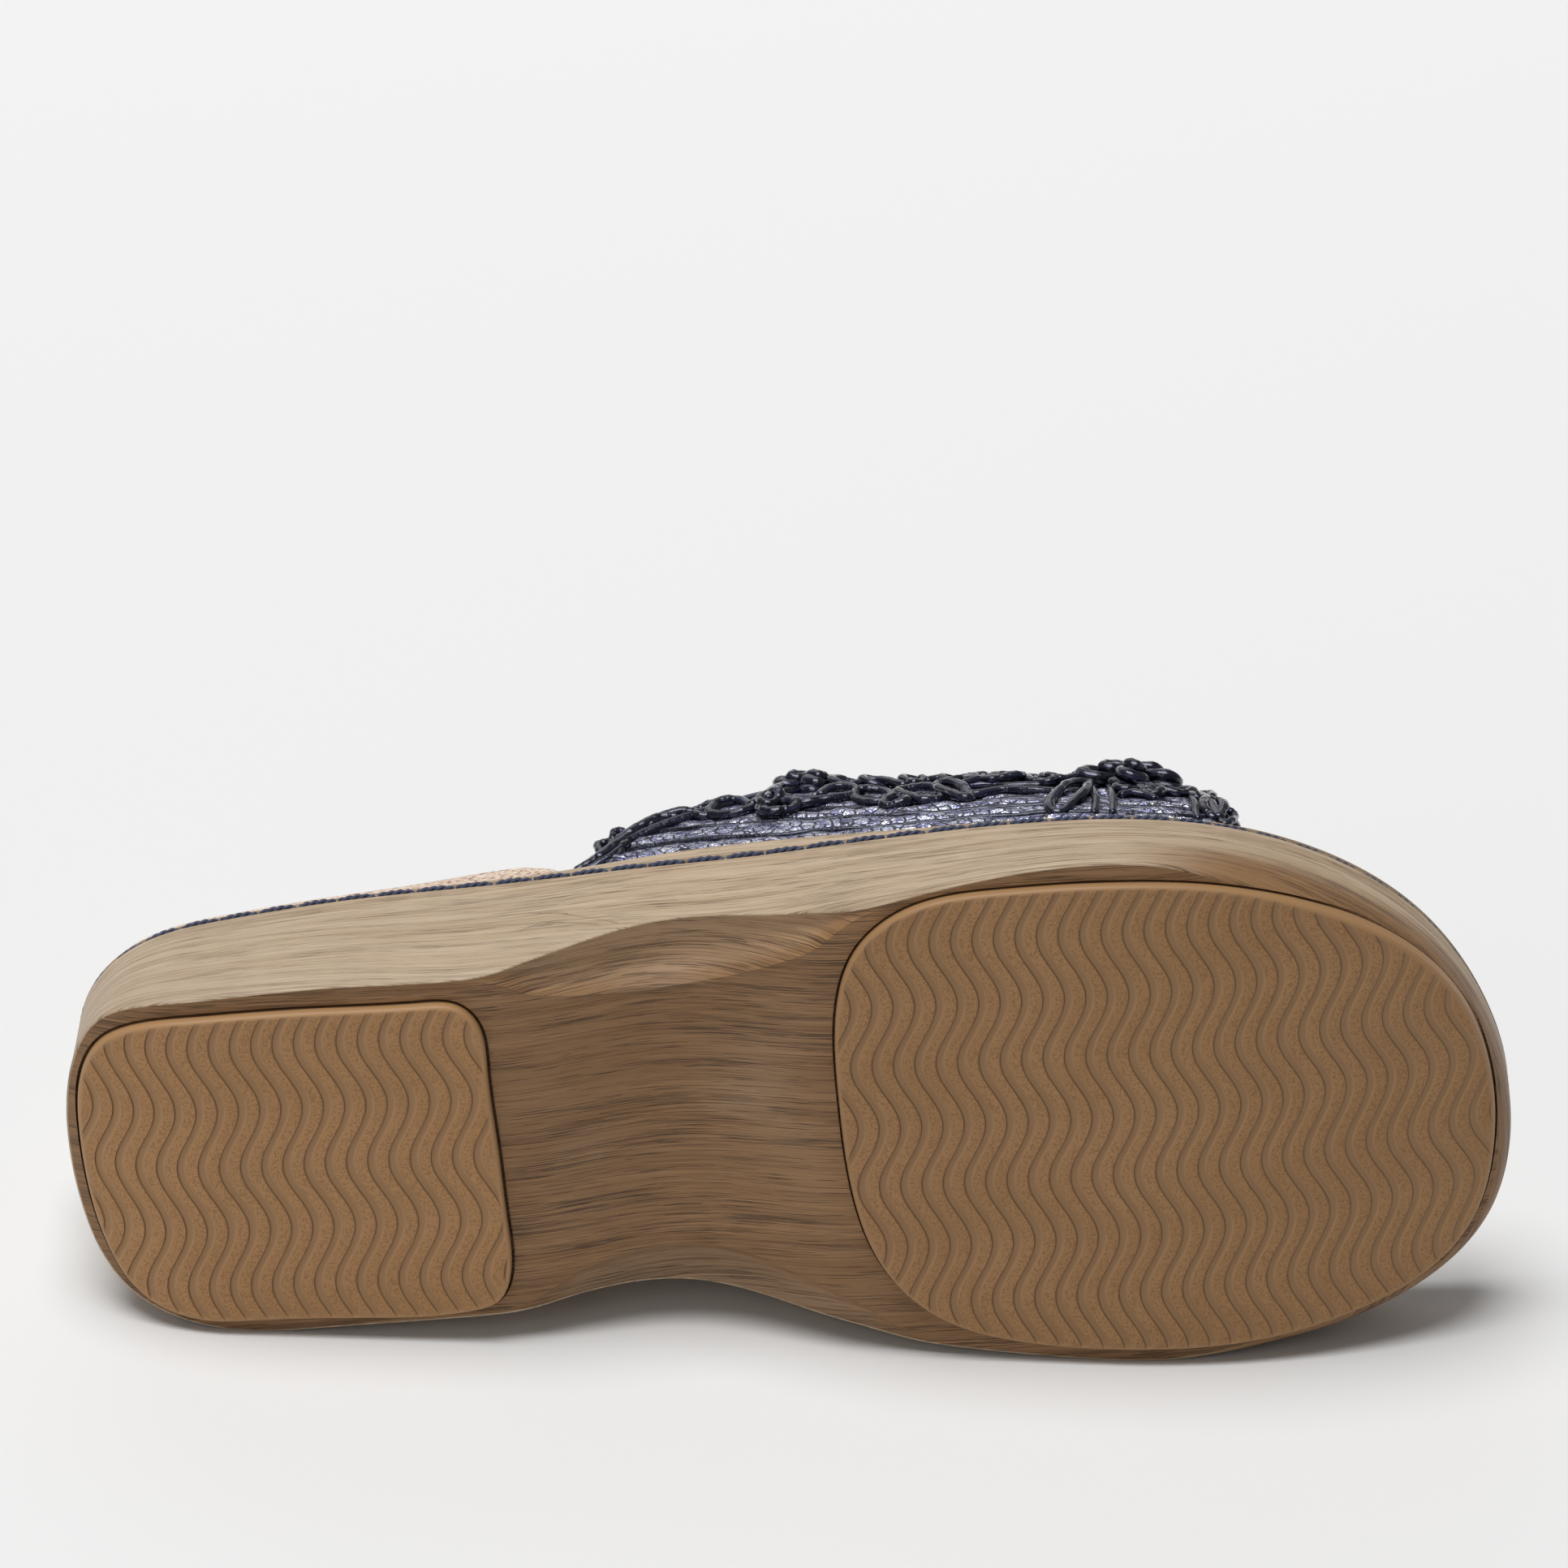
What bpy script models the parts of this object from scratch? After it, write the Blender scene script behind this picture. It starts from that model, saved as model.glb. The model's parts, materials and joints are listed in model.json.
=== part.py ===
"""Slide sandal, a right shoe, laid on its inner side with the sole turned towards -Y.

Tables and named sizes are in millimetres, in the shoe's own standing frame: x runs from the heel's
back to the toe, y towards the inner (big toe) side, and z up from the tread. Meshes are made in
metres in that frame. The last step hangs them on an empty that lays the shoe on the floor.
"""
import math

import bmesh
import bpy
import numpy as np
from mathutils import Matrix

MM = 0.001

# Clearances and thicknesses
GAP = 0.35
PAD_PROUD = 2.0
PAD_THICK = 3.7
PAD_EDGE = 1.0
LIP_WIDTH = 1.2
LIP_ROUND = 0.5
SEAT_DEPTH = 6.0
STRAP_WALL = 2.4
STRAP_TUCK = 4.5
CORD_RADIUS = 1.5

# The sole from the side: tread line, arch and rim
HEEL_CURVE_START = 26.5
HEEL_CURVE = 0.013
TOE_CURVE_START = 179.0
TOE_CURVE = 0.0039
ARCH_START = 74.0
ARCH_END = 138.0
ARCH_RISE = 6.5
RIM_HEIGHT_DEGREE = 5
RIM_HEIGHT = (  # x, z
    (0, 46.0),
    (35, 45.0),
    (65, 42.5),
    (95, 37.5),
    (125, 32.0),
    (155, 28.0),
    (180, 27.0),
    (205, 28.5),
    (230, 32.5),
    (252, 38.0),
)

# The sole from above, a row for each station from the heel's back along the outer side to the toe
# and home along the inner side: top of the wall, foot of the wall, and the cove carved under it.
SOLE_STATIONS = (  # rim_x, rim_y, edge_x, edge_y, cove width, cove rise
    (-1.4, 1.0, -0.8, 0.5, 1.2, 0.8),
    (2.8, -14.9, 1.9, -16.6, 1.2, 0.8),
    (11.5, -21.9, 8.3, -25.6, 1.2, 0.8),
    (27.0, -26.0, 26.0, -29.5, 1.2, 0.8),
    (50.0, -29.4, 50.0, -30.7, 1.2, 0.8),
    (72.0, -32.0, 72.0, -31.0, 2.4, 1.4),
    (90.0, -34.9, 90.0, -33.4, 8.5, 3.4),
    (108.0, -38.5, 108.0, -35.4, 10.5, 5.0),
    (128.0, -41.4, 128.0, -37.6, 6.5, 4.4),
    (148.0, -43.3, 148.0, -41.8, 1.7, 1.6),
    (172.0, -44.8, 172.0, -45.9, 1.2, 0.8),
    (198.0, -42.9, 198.0, -44.3, 1.2, 0.8),
    (219.6, -35.1, 219.6, -35.1, 1.2, 0.8),
    (237.9, -20.5, 238.2, -19.9, 1.0, 0.8),
    (248.4, -3.0, 248.3, -3.0, 0.9, 0.8),
    (252.6, 15.0, 252.4, 15.0, 0.9, 0.8),
    (248.3, 32.6, 248.5, 33.6, 1.0, 0.8),
    (234.4, 42.6, 235.2, 44.2, 1.2, 0.8),
    (210.0, 47.9, 210.0, 49.7, 1.2, 0.8),
    (186.0, 47.7, 186.0, 49.5, 1.2, 0.8),
    (158.0, 44.6, 158.0, 45.8, 1.4, 1.2),
    (134.0, 42.0, 134.0, 40.8, 6.0, 3.6),
    (110.0, 37.8, 110.0, 35.2, 10.0, 5.0),
    (90.0, 34.2, 90.0, 33.2, 6.5, 3.2),
    (72.0, 32.6, 72.0, 34.0, 2.2, 1.2),
    (45.0, 31.6, 45.0, 34.8, 1.2, 0.8),
    (23.0, 29.4, 22.0, 33.6, 1.2, 0.8),
    (11.0, 23.4, 8.0, 27.4, 1.2, 0.8),
    (3.0, 14.0, 1.4, 16.0, 1.2, 0.8),
)
SOLE_TOE_ROW = 15
SOLE_SPINE = (24.0, 214.0)

# Tread pads, a row for each point of the outline, from the back along the outer side
HEEL_PAD = (  # x, y
    (1.7, -3.0),
    (3.0, -13.7),
    (7.5, -21.1),
    (14.7, -24.8),
    (27.0, -26.3),
    (45.0, -26.7),
    (63.5, -26.7),
    (70.2, -25.8),
    (73.2, -22.4),
    (74.3, -14.0),
    (75.1, 2.0),
    (75.7, 16.0),
    (75.5, 26.0),
    (73.4, 30.4),
    (68.2, 32.3),
    (50.0, 32.6),
    (32.0, 32.0),
    (17.0, 30.7),
    (9.6, 26.4),
    (5.0, 18.8),
    (2.4, 8.0),
)
HEEL_PAD_FRONT_ROW = 10
HEEL_PAD_SPINE = (30.0, 58.0)
FOREFOOT_PAD = (  # x, y
    (134.8, -5.0),
    (135.4, -22.0),
    (139.2, -32.4),
    (147.6, -39.4),
    (165.0, -42.5),
    (185.0, -42.6),
    (204.8, -39.5),
    (220.4, -32.9),
    (234.2, -23.1),
    (243.7, -10.8),
    (248.9, 6.0),
    (248.7, 20.0),
    (245.0, 31.6),
    (237.4, 39.2),
    (224.2, 44.3),
    (206.0, 47.0),
    (185.0, 46.5),
    (165.0, 43.9),
    (149.7, 38.0),
    (141.0, 28.5),
    (136.4, 14.6),
)
FOREFOOT_PAD_FRONT_ROW = 10
FOREFOOT_PAD_SPINE = (166.0, 214.0)

# Footbed: crown of its edge above the rim, dish of its middle, and the notch that the strap fills
FOOTBED_TOE_CROWN = 1.2
FOOTBED_HEEL_CROWN = 2.9
FOOTBED_CROWN_FALL = (95.0, 150.0)
FOOTBED_WAIST_CROWN = 3.2
FOOTBED_WAIST = 78.0
FOOTBED_WAIST_SPREAD = 16.0
FOOTBED_DISH = 2.5
HEEL_CUP = 3.0
HEEL_CUP_AT = 35.0
FOOTBED_ROUND = 1.3
STRAP_NOTCH = 3.3
NOTCH_BACK = (85.5, 91.5)
NOTCH_FRONT = (211.5, 217.5)

# Strap: where its edges meet the rim on each side, how far they sweep in at the crest, and its arch
THROAT_OUTER = 92.0
THROAT_INNER = 96.0
THROAT_SWEEP = 39.4
THROAT_TURN = 21.5
THROAT_POWER = 1.9
TOE_OUTER = 204.5
TOE_INNER = 206.0
TOE_SWEEP = 17.0
INSTEP_AT = 133.0
INSTEP_HEIGHT = 64.0
TOE_AT = 187.0
TOE_HEIGHT = 50.0
CREST_LEAN = 3.0
FULLNESS = 0.04

# Rosettes of coiled cord: place along the shoe, turn round the arch from the outer side, radius
ROSETTES = (  # name, x, turn in degrees, radius
    ("rosette_outer_back", 131.0, 37.0, 7.0),
    ("rosette_outer_front", 188.0, 35.0, 8.7),
    ("rosette_crest_back", 147.0, 88.0, 7.2),
    ("rosette_crest_front", 175.0, 92.0, 7.2),
    ("rosette_inner_back", 131.0, 143.0, 7.0),
    ("rosette_inner_front", 186.0, 139.0, 8.2),
)
ROSETTE_PETALS = 6
ROSETTE_SCALLOP = 0.06
ROSETTE_PROFILE = (  # share of the radius, height over the strap
    (0.20, 4.2),
    (0.55, 5.2),
    (0.86, 4.4),
    (1.00, 2.6),
    (0.94, 0.0),
)

COLOURS = {  # linear red, green, blue, roughness, metallic
    "midsole": (0.42, 0.31, 0.20, 0.55, 0.0),
    "pad": (0.27, 0.15, 0.075, 0.7, 0.0),
    "footbed": (0.74, 0.50, 0.34, 0.95, 0.0),
    "upper": (0.035, 0.035, 0.075, 0.35, 0.6),
    "cord": (0.012, 0.012, 0.020, 0.3, 0.1),
}


def clear_scene():
    """Remove whatever the file was opened with."""
    for old in list(bpy.data.objects):
        bpy.data.objects.remove(old, do_unlink=True)


def material(name):
    """A Principled material for one kind of piece."""
    red, green, blue, rough, metal = COLOURS[name]
    made = bpy.data.materials.new(name)
    made.use_nodes = True
    shader = made.node_tree.nodes["Principled BSDF"]
    shader.inputs["Base Color"].default_value = (red, green, blue, 1.0)
    shader.inputs["Roughness"].default_value = rough
    shader.inputs["Metallic"].default_value = metal
    return made


def closed_spline(table, turn_row, per_side):
    """Periodic cubic spline through the table's rows, by chord length of the first two columns.

    Gives per_side rows from the first row to turn_row and per_side more back to the first.
    """
    rows = np.array(table, float)
    count = len(rows)
    step = np.linalg.norm(np.diff(rows[:, :2], axis=0, append=rows[:1, :2]), axis=1)
    following = np.roll(np.arange(count), -1)
    before = np.roll(step, 1)
    slope = (rows[following] - rows) / step[:, None]
    system = np.diag(2 * (before + step))
    for row in range(count):
        system[row, row - 1] += before[row]
        system[row, following[row]] += step[row]
    bend = np.linalg.solve(system, 6 * (slope - np.roll(slope, 1, axis=0)))
    knots = np.concatenate(([0.0], np.cumsum(step)))
    out = np.linspace(0, knots[turn_row], per_side, endpoint=False)
    home = np.linspace(knots[turn_row], knots[-1], per_side, endpoint=False)
    along = np.concatenate((out, home))
    left = np.searchsorted(knots, along, side="right") - 1
    right = following[left]
    share = ((along - knots[left]) / step[left])[:, None]
    rest = 1 - share
    curve = (rest ** 3 - rest) * bend[left] + (share ** 3 - share) * bend[right]
    return rest * rows[left] + share * rows[right] + curve * (step[left] ** 2)[:, None] / 6


def inset(loop, distance):
    """The loop's x and y moved inwards by a distance, or one distance for each point."""
    tangent = np.roll(loop[:, :2], -1, axis=0) - np.roll(loop[:, :2], 1, axis=0)
    tangent /= np.linalg.norm(tangent, axis=1)[:, None]
    inward = np.column_stack((-tangent[:, 1], tangent[:, 0]))
    return loop[:, :2] + inward * np.reshape(distance, (-1, 1))


def spine(loop, ends):
    """The middle line of a loop: each point is shared with its twin on the other side."""
    twin = np.roll(loop[::-1, :2], 1, axis=0)
    middle = (loop[:, :2] + twin) / 2
    along = middle[:, 0]
    share = (along - along.min()) / np.ptp(along)
    middle[:, 0] = ends[0] + share * (ends[1] - ends[0])
    return middle


def towards(middle, loop, share):
    """A loop that has gone a share of the way from the middle line to the outer loop."""
    return middle + share * (loop[:, :2] - middle)


def ring(plan, height):
    """Plan points with their heights."""
    return np.column_stack((plan, np.broadcast_to(height, len(plan))))


def smooth_step(value, start, end):
    """From 0 at start to 1 at end, level at both."""
    share = np.clip((value - start) / (end - start), 0, 1)
    return share * share * (3 - 2 * share)


def tread_z(x):
    """Underside of the pads: flat, curling up at the heel's back and at the toe."""
    heel = HEEL_CURVE * np.clip(HEEL_CURVE_START - x, 0, None) ** 2
    toe = TOE_CURVE * np.clip(x - TOE_CURVE_START, 0, None) ** 2
    return heel + toe


def bottom_z(x):
    """Underside of the midsole: above the tread by the pads' height, arched at the waist."""
    share = np.clip((x - ARCH_START) / (ARCH_END - ARCH_START), 0, 1)
    return tread_z(x) + PAD_PROUD + ARCH_RISE * np.sin(math.pi * share) ** 2


RIM_CURVE = np.polyfit(*np.array(RIM_HEIGHT).T, RIM_HEIGHT_DEGREE)


def rim_z(x):
    """Top of the midsole's rim, a smooth curve through the table."""
    return np.polyval(RIM_CURVE, x)


def skin(name, rings, surface):
    """A closed object over rings of equal count; the first and last ring are double middle lines."""
    count = len(rings[0])
    points = np.concatenate(rings) * MM
    mesh = bmesh.new()
    verts = [mesh.verts.new(point) for point in points.tolist()]
    for level in range(len(rings) - 1):
        for k in range(count):
            low = level * count
            after = (k + 1) % count
            corners = (low + k, low + after, low + count + after, low + count + k)
            mesh.faces.new([verts[corner] for corner in corners])
    bmesh.ops.remove_doubles(mesh, verts=mesh.verts, dist=1e-6)
    bmesh.ops.recalc_face_normals(mesh, faces=mesh.faces)
    return keep(name, mesh, surface)


def keep(name, mesh, surface):
    """Turn a bmesh into a named, smooth-shaded object of the sandal."""
    data = bpy.data.meshes.new(name)
    mesh.to_mesh(data)
    mesh.free()
    data.shade_smooth()
    data.set_sharp_from_angle(angle=math.radians(35))
    made = bpy.data.objects.new(name, data)
    if surface is None:
        made.display_type = "WIRE"
        made.hide_render = True
        cutters.objects.link(made)
    else:
        data.materials.append(surface)
        parts.objects.link(made)
    return made


def make_midsole():
    """Platform: underside, coves, wall, rim lip and the seat for the footbed."""
    loop = closed_spline(SOLE_STATIONS, SOLE_TOE_ROW, 52)
    rim = loop[:, :2]
    edge = loop[:, 2:4]
    cove = loop[:, 4]
    rise = loop[:, 5]
    middle = spine(edge, SOLE_SPINE)
    crease = inset(edge, cove)
    rings = [ring(towards(middle, crease, share), 0) for share in (0.0, 0.5, 1.0)]
    for level in rings:
        level[:, 2] = bottom_z(level[:, 0])
    carved = smooth_step(cove, 2.0, 6.0)
    for share in (0.35, 0.7):
        scoop = np.sin(math.pi / 2 * share)
        round_off = 1 - math.sqrt(1 - share ** 2)
        plan = inset(edge, cove * (1 - share))
        part_rise = rise * (carved * scoop + (1 - carved) * round_off)
        rings.append(ring(plan, bottom_z(plan[:, 0]) + part_rise))
    foot = bottom_z(edge[:, 0]) + rise
    top = rim_z(rim[:, 0])
    for share in (0.0, 0.35, 0.7, 1.0):
        plan = edge + share * (rim - edge)
        rings.append(ring(plan, foot + share * (top - LIP_ROUND - foot)))
    rings.append(ring(inset(rim, LIP_ROUND), top))
    inner = inset(rim, LIP_WIDTH)
    rings.append(ring(inner, top))
    for share in (1.0, 0.5, 0.0):
        plan = towards(middle, inner, share)
        rings.append(ring(plan, rim_z(plan[:, 0]) - SEAT_DEPTH))
    return skin("midsole", rings, material("midsole"))


def make_pad(name, table, front_row, ends, surface):
    """Tread pad with a rounded edge, and the recess that it sits in."""
    loop = closed_spline(table, front_row, 36)
    middle = spine(loop, ends)
    flat = inset(loop, PAD_EDGE)
    tread = [ring(towards(middle, flat, share), 0) for share in (0.0, 0.55, 1.0)]
    levels = tread + [ring(inset(loop, 0.25 * PAD_EDGE), 0), ring(loop, 0), ring(loop, 0)]
    levels += [ring(towards(middle, loop, share), 0) for share in (0.5, 0.0)]
    heights = (0, 0, 0, 0.3, PAD_EDGE, PAD_THICK, PAD_THICK, PAD_THICK)
    for level, height in zip(levels, heights):
        level[:, 2] = tread_z(level[:, 0]) + height
    pad = skin(name, levels, surface)
    wide = inset(loop, -GAP)
    below = [ring(towards(middle, wide, share), 0) for share in (0.0, 1.0)]
    above = [ring(towards(middle, wide, share), 0) for share in (1.0, 0.0)]
    for level in below:
        level[:, 2] = tread_z(level[:, 0]) - PAD_THICK
    for level in above:
        level[:, 2] = tread_z(level[:, 0]) + PAD_THICK + GAP
    recess = skin(name + "_recess", below + above, None)
    return pad, recess


def cut(target, cutter):
    """Take the cutter out of the target."""
    modifier = target.modifiers.new(cutter.name, "BOOLEAN")
    modifier.operation = "DIFFERENCE"
    modifier.object = cutter


def footbed_edge_z(x):
    """Top of the footbed's wrapped edge: higher at the heel than at the toe, highest at the waist."""
    waist = np.exp(-((x - FOOTBED_WAIST) / FOOTBED_WAIST_SPREAD) ** 2)
    fall = smooth_step(x, *FOOTBED_CROWN_FALL)
    crown = FOOTBED_HEEL_CROWN + (FOOTBED_TOE_CROWN - FOOTBED_HEEL_CROWN) * fall
    return rim_z(x) + crown + FOOTBED_WAIST_CROWN * waist


def footbed_dish(x):
    """How far the footbed's middle lies under its edge."""
    cup = HEEL_CUP * np.exp(-((x - HEEL_CUP_AT) / HEEL_CUP_AT) ** 2)
    return FOOTBED_DISH + cup + 0.6 * (footbed_edge_z(x) - rim_z(x) - FOOTBED_TOE_CROWN)


def make_footbed():
    """Padded insole with a notch on each side, where the strap passes down."""
    rim = closed_spline(SOLE_STATIONS, SOLE_TOE_ROW, 52)[:, :2]
    notch = smooth_step(rim[:, 0], *NOTCH_BACK) - smooth_step(rim[:, 0], *NOTCH_FRONT)
    loop = inset(rim, LIP_WIDTH + GAP + STRAP_NOTCH * notch)
    middle = spine(loop, SOLE_SPINE)
    crown = inset(loop, FOOTBED_ROUND)
    rings = []
    for share in (0.0, 1.0):
        plan = towards(middle, loop, share)
        rings.append(ring(plan, rim_z(plan[:, 0]) - SEAT_DEPTH + GAP))
    rings.append(ring(loop, footbed_edge_z(loop[:, 0]) - FOOTBED_ROUND))
    shoulder = inset(loop, 0.3 * FOOTBED_ROUND)
    rings.append(ring(shoulder, footbed_edge_z(shoulder[:, 0]) - 0.3 * FOOTBED_ROUND))
    for share in (1.0, 0.8, 0.45, 0.0):
        plan = towards(middle, crown, share)
        sunk = footbed_dish(plan[:, 0]) * (1 - share ** 2)
        rings.append(ring(plan, footbed_edge_z(plan[:, 0]) - sunk))
    return skin("footbed", rings, material("footbed"))


STRAP_LOOP = inset(closed_spline(SOLE_STATIONS, SOLE_TOE_ROW, 300)[:, :2], LIP_WIDTH + GAP)
OUTER_LINE = STRAP_LOOP[:300]
INNER_LINE = STRAP_LOOP[:300:-1]


def strap_point(x, turn, proud=0.0):
    """The strap's outer face at x and at a turn in degrees: 0 outer rim, 90 crest, 180 inner rim.

    Each cross section is half an ellipse from rim to rim, made fuller at the shoulders by a third
    harmonic and leaning a little to the inner side.
    """
    angle = np.radians(turn)
    outer = np.interp(x, OUTER_LINE[:, 0], OUTER_LINE[:, 1])
    inner = np.interp(x, INNER_LINE[:, 0], INNER_LINE[:, 1])
    height = INSTEP_HEIGHT + (TOE_HEIGHT - INSTEP_HEIGHT) * (x - INSTEP_AT) / (TOE_AT - INSTEP_AT)
    half = (inner - outer) / 2
    across = (np.cos(angle) - FULLNESS * np.cos(3 * angle)) / (1 - FULLNESS)
    y = (inner + outer) / 2 - half * across + CREST_LEAN * np.sin(angle) ** 2
    z = rim_z(x) + height * np.sin(angle)
    face = np.stack(np.broadcast_arrays(x, y, z), axis=-1)
    if np.any(proud):
        face = face + strap_normal(x, turn) * np.expand_dims(proud, -1)
    return face


def strap_tangents(x, turn):
    """Change of the outer face along the shoe, and round the arch in radians."""
    forward = (strap_point(x + 0.5, turn) - strap_point(x - 0.5, turn)) / 1.0
    around = (strap_point(x, turn + 0.5) - strap_point(x, turn - 0.5)) / math.radians(1.0)
    return forward, around


def strap_normal(x, turn):
    """Outward unit normal of the strap's outer face."""
    forward, around = strap_tangents(x, turn)
    normal = np.cross(forward, around)
    return normal / np.linalg.norm(normal, axis=-1, keepdims=True)


def strap_edges(turn):
    """Where the strap's back and front edge lie along the shoe, for a turn round the arch."""
    angle = np.radians(turn)
    inner = (1 - np.cos(angle)) / 2
    risen = np.clip(90 - np.abs(turn - 90), 0, None)
    sweep = THROAT_SWEEP * (1 - np.exp(-(risen / THROAT_TURN) ** THROAT_POWER))
    back = THROAT_OUTER + (THROAT_INNER - THROAT_OUTER) * inner + sweep
    front = TOE_OUTER + (TOE_INNER - TOE_OUTER) * inner - TOE_SWEEP * np.sin(angle) ** 2
    return back, front


def make_upper(across=32, along=14):
    """The strap's wall: its outer face with Solidify inwards, its lower edges down in the slot."""
    turns = np.concatenate(([0, 0], np.linspace(0, 180, across + 1), [180, 180]))
    drop = np.concatenate(([1, 0.5], np.zeros(across + 1), [0.5, 1])) * STRAP_TUCK
    back, front = strap_edges(turns)
    share = np.linspace(0, 1, along + 1)[:, None]
    grid = strap_point(back + share * (front - back), turns[None, :])
    grid[..., 2] -= drop
    mesh = bmesh.new()
    rows = [[mesh.verts.new(point) for point in line] for line in (grid * MM).tolist()]
    for row, following in zip(rows, rows[1:]):
        for k in range(len(turns) - 1):
            mesh.faces.new((row[k], following[k], following[k + 1], row[k + 1]))
    made = keep("upper", mesh, material("upper"))
    wall = made.modifiers.new("wall", "SOLIDIFY")
    wall.thickness = STRAP_WALL * MM
    wall.offset = -1.0
    wall.use_even_offset = True
    return made


def make_edge_cord(name, side, surface, points=34):
    """Round cord that binds one edge of the strap, just clear of it: side 0 throat, 1 toe."""
    turns = np.linspace(3.5, 176.5, points)
    edge = strap_edges(turns)[side]
    face = strap_point(edge, turns) - strap_normal(edge, turns) * STRAP_WALL / 2
    route = np.gradient(face, axis=0)
    route /= np.linalg.norm(route, axis=1)[:, None]
    outward = np.cross(strap_normal(edge, turns), route)
    outward *= np.sign(outward[:, :1]) * (2 * side - 1)
    centre = (face + outward * (CORD_RADIUS + GAP)) * MM
    curve = bpy.data.curves.new(name, "CURVE")
    curve.dimensions = "3D"
    curve.bevel_depth = CORD_RADIUS * MM
    curve.bevel_resolution = 2
    curve.use_fill_caps = True
    line = curve.splines.new("POLY")
    line.points.add(points - 1)
    line.points.foreach_set("co", np.column_stack((centre, np.ones(points))).ravel())
    curve.materials.append(surface)
    made = bpy.data.objects.new(name, curve)
    parts.objects.link(made)
    return made


def make_rosette(name, x, turn, radius, surface, count=24):
    """A scalloped dome between two offsets of the strap's own outer face."""
    forward, around = strap_tangents(x, turn)
    angle = np.arange(count) * math.tau / count
    reach = radius * (1 + ROSETTE_SCALLOP * np.cos(ROSETTE_PETALS * angle))
    per_x = 1 / np.linalg.norm(forward)
    per_turn = math.degrees(1 / np.linalg.norm(around))

    def level(share, height):
        xs = x + share * reach * np.cos(angle) * per_x
        turns = turn + share * reach * np.sin(angle) * per_turn
        return strap_point(xs, turns, GAP + height) * MM

    mesh = bmesh.new()
    rings = [[mesh.verts.new(p) for p in level(*row).tolist()] for row in ROSETTE_PROFILE]
    for low, high in zip(rings, rings[1:]):
        for k in range(count):
            mesh.faces.new((low[k], low[k - 1], high[k - 1], high[k]))
    for rim, height in ((rings[0], ROSETTE_PROFILE[0][1] - 0.6), (rings[-1], 0.0)):
        centre = mesh.verts.new((strap_point(x, turn, GAP + height) * MM).tolist())
        for k in range(count):
            mesh.faces.new((centre, rim[k - 1], rim[k]))
    bmesh.ops.recalc_face_normals(mesh, faces=mesh.faces)
    return keep(name, mesh, surface)


def shape_points(pieces):
    """Evaluated points and triangles of the pieces, in the standing frame."""
    graph = bpy.context.evaluated_depsgraph_get()
    clouds = []
    for piece in pieces:
        shown = piece.evaluated_get(graph)
        mesh = shown.to_mesh()
        mesh.calc_loop_triangles()
        points = np.empty(len(mesh.vertices) * 3)
        mesh.vertices.foreach_get("co", points)
        corners = np.empty(len(mesh.loop_triangles) * 3, int)
        mesh.loop_triangles.foreach_get("vertices", corners)
        clouds.append((points.reshape(-1, 3), corners.reshape(-1, 3)))
        shown.to_mesh_clear()
    return clouds


def balance_point(clouds):
    """Centre of volume of all the pieces."""
    moment = np.zeros(3)
    volume = 0.0
    for points, corners in clouds:
        a, b, c = (points[corners[:, k]] for k in range(3))
        parts_of = np.einsum("ij,ij->i", a, np.cross(b, c)) / 6
        moment += ((a + b + c) / 4 * parts_of[:, None]).sum(axis=0)
        volume += parts_of.sum()
    return moment / volume


def inner_side_rest(clouds):
    """Rotation that lays the shoe on the hull face, on its inner side, below its balance point."""
    centre = balance_point(clouds)
    hull = bmesh.new()
    for point in np.concatenate([points for points, _ in clouds]).tolist():
        hull.verts.new(point)
    bmesh.ops.convex_hull(hull, input=hull.verts)
    bmesh.ops.recalc_face_normals(hull, faces=hull.faces)
    best = None
    for face in hull.faces:
        normal = np.array(face.normal)
        corners = np.array([vert.co for vert in face.verts])
        under = centre + normal * np.dot(corners[0] - centre, normal)
        turns = np.cross(np.roll(corners, -1, axis=0) - corners, under - corners) @ normal
        if normal[1] > 0.8 and turns.min() >= 0:
            best = normal
    hull.free()
    down = best / np.linalg.norm(best)
    forward = np.array((1.0, 0.0, 0.0)) - down * down[0]
    forward /= np.linalg.norm(forward)
    return np.array((forward, np.cross(-down, forward), -down))


def lay_down(pieces):
    """Hang the pieces on an empty that puts the middle of the bounding box's bottom at the origin."""
    clouds = shape_points(pieces)
    turn = inner_side_rest(clouds)
    laid = np.concatenate([points for points, _ in clouds]) @ turn.T
    low = laid.min(axis=0)
    high = laid.max(axis=0)
    shift = -np.array(((low[0] + high[0]) / 2, (low[1] + high[1]) / 2, low[2]))
    rest = bpy.data.objects.new("lying_rest", None)
    rest.matrix_world = Matrix.Translation(shift) @ Matrix(turn.tolist()).to_4x4()
    parts.objects.link(rest)
    for piece in (*pieces, *cutters.objects):
        piece.parent = rest
    print("size in mm", np.round((high - low) / MM, 2))
    print("standing frame to floor", np.round(turn, 5).tolist(), np.round(shift / MM, 3).tolist())


clear_scene()
parts = bpy.data.collections.new("slide_sandal")
cutters = bpy.data.collections.new("slide_sandal_cutters")
bpy.context.scene.collection.children.link(parts)
bpy.context.scene.collection.children.link(cutters)

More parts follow.
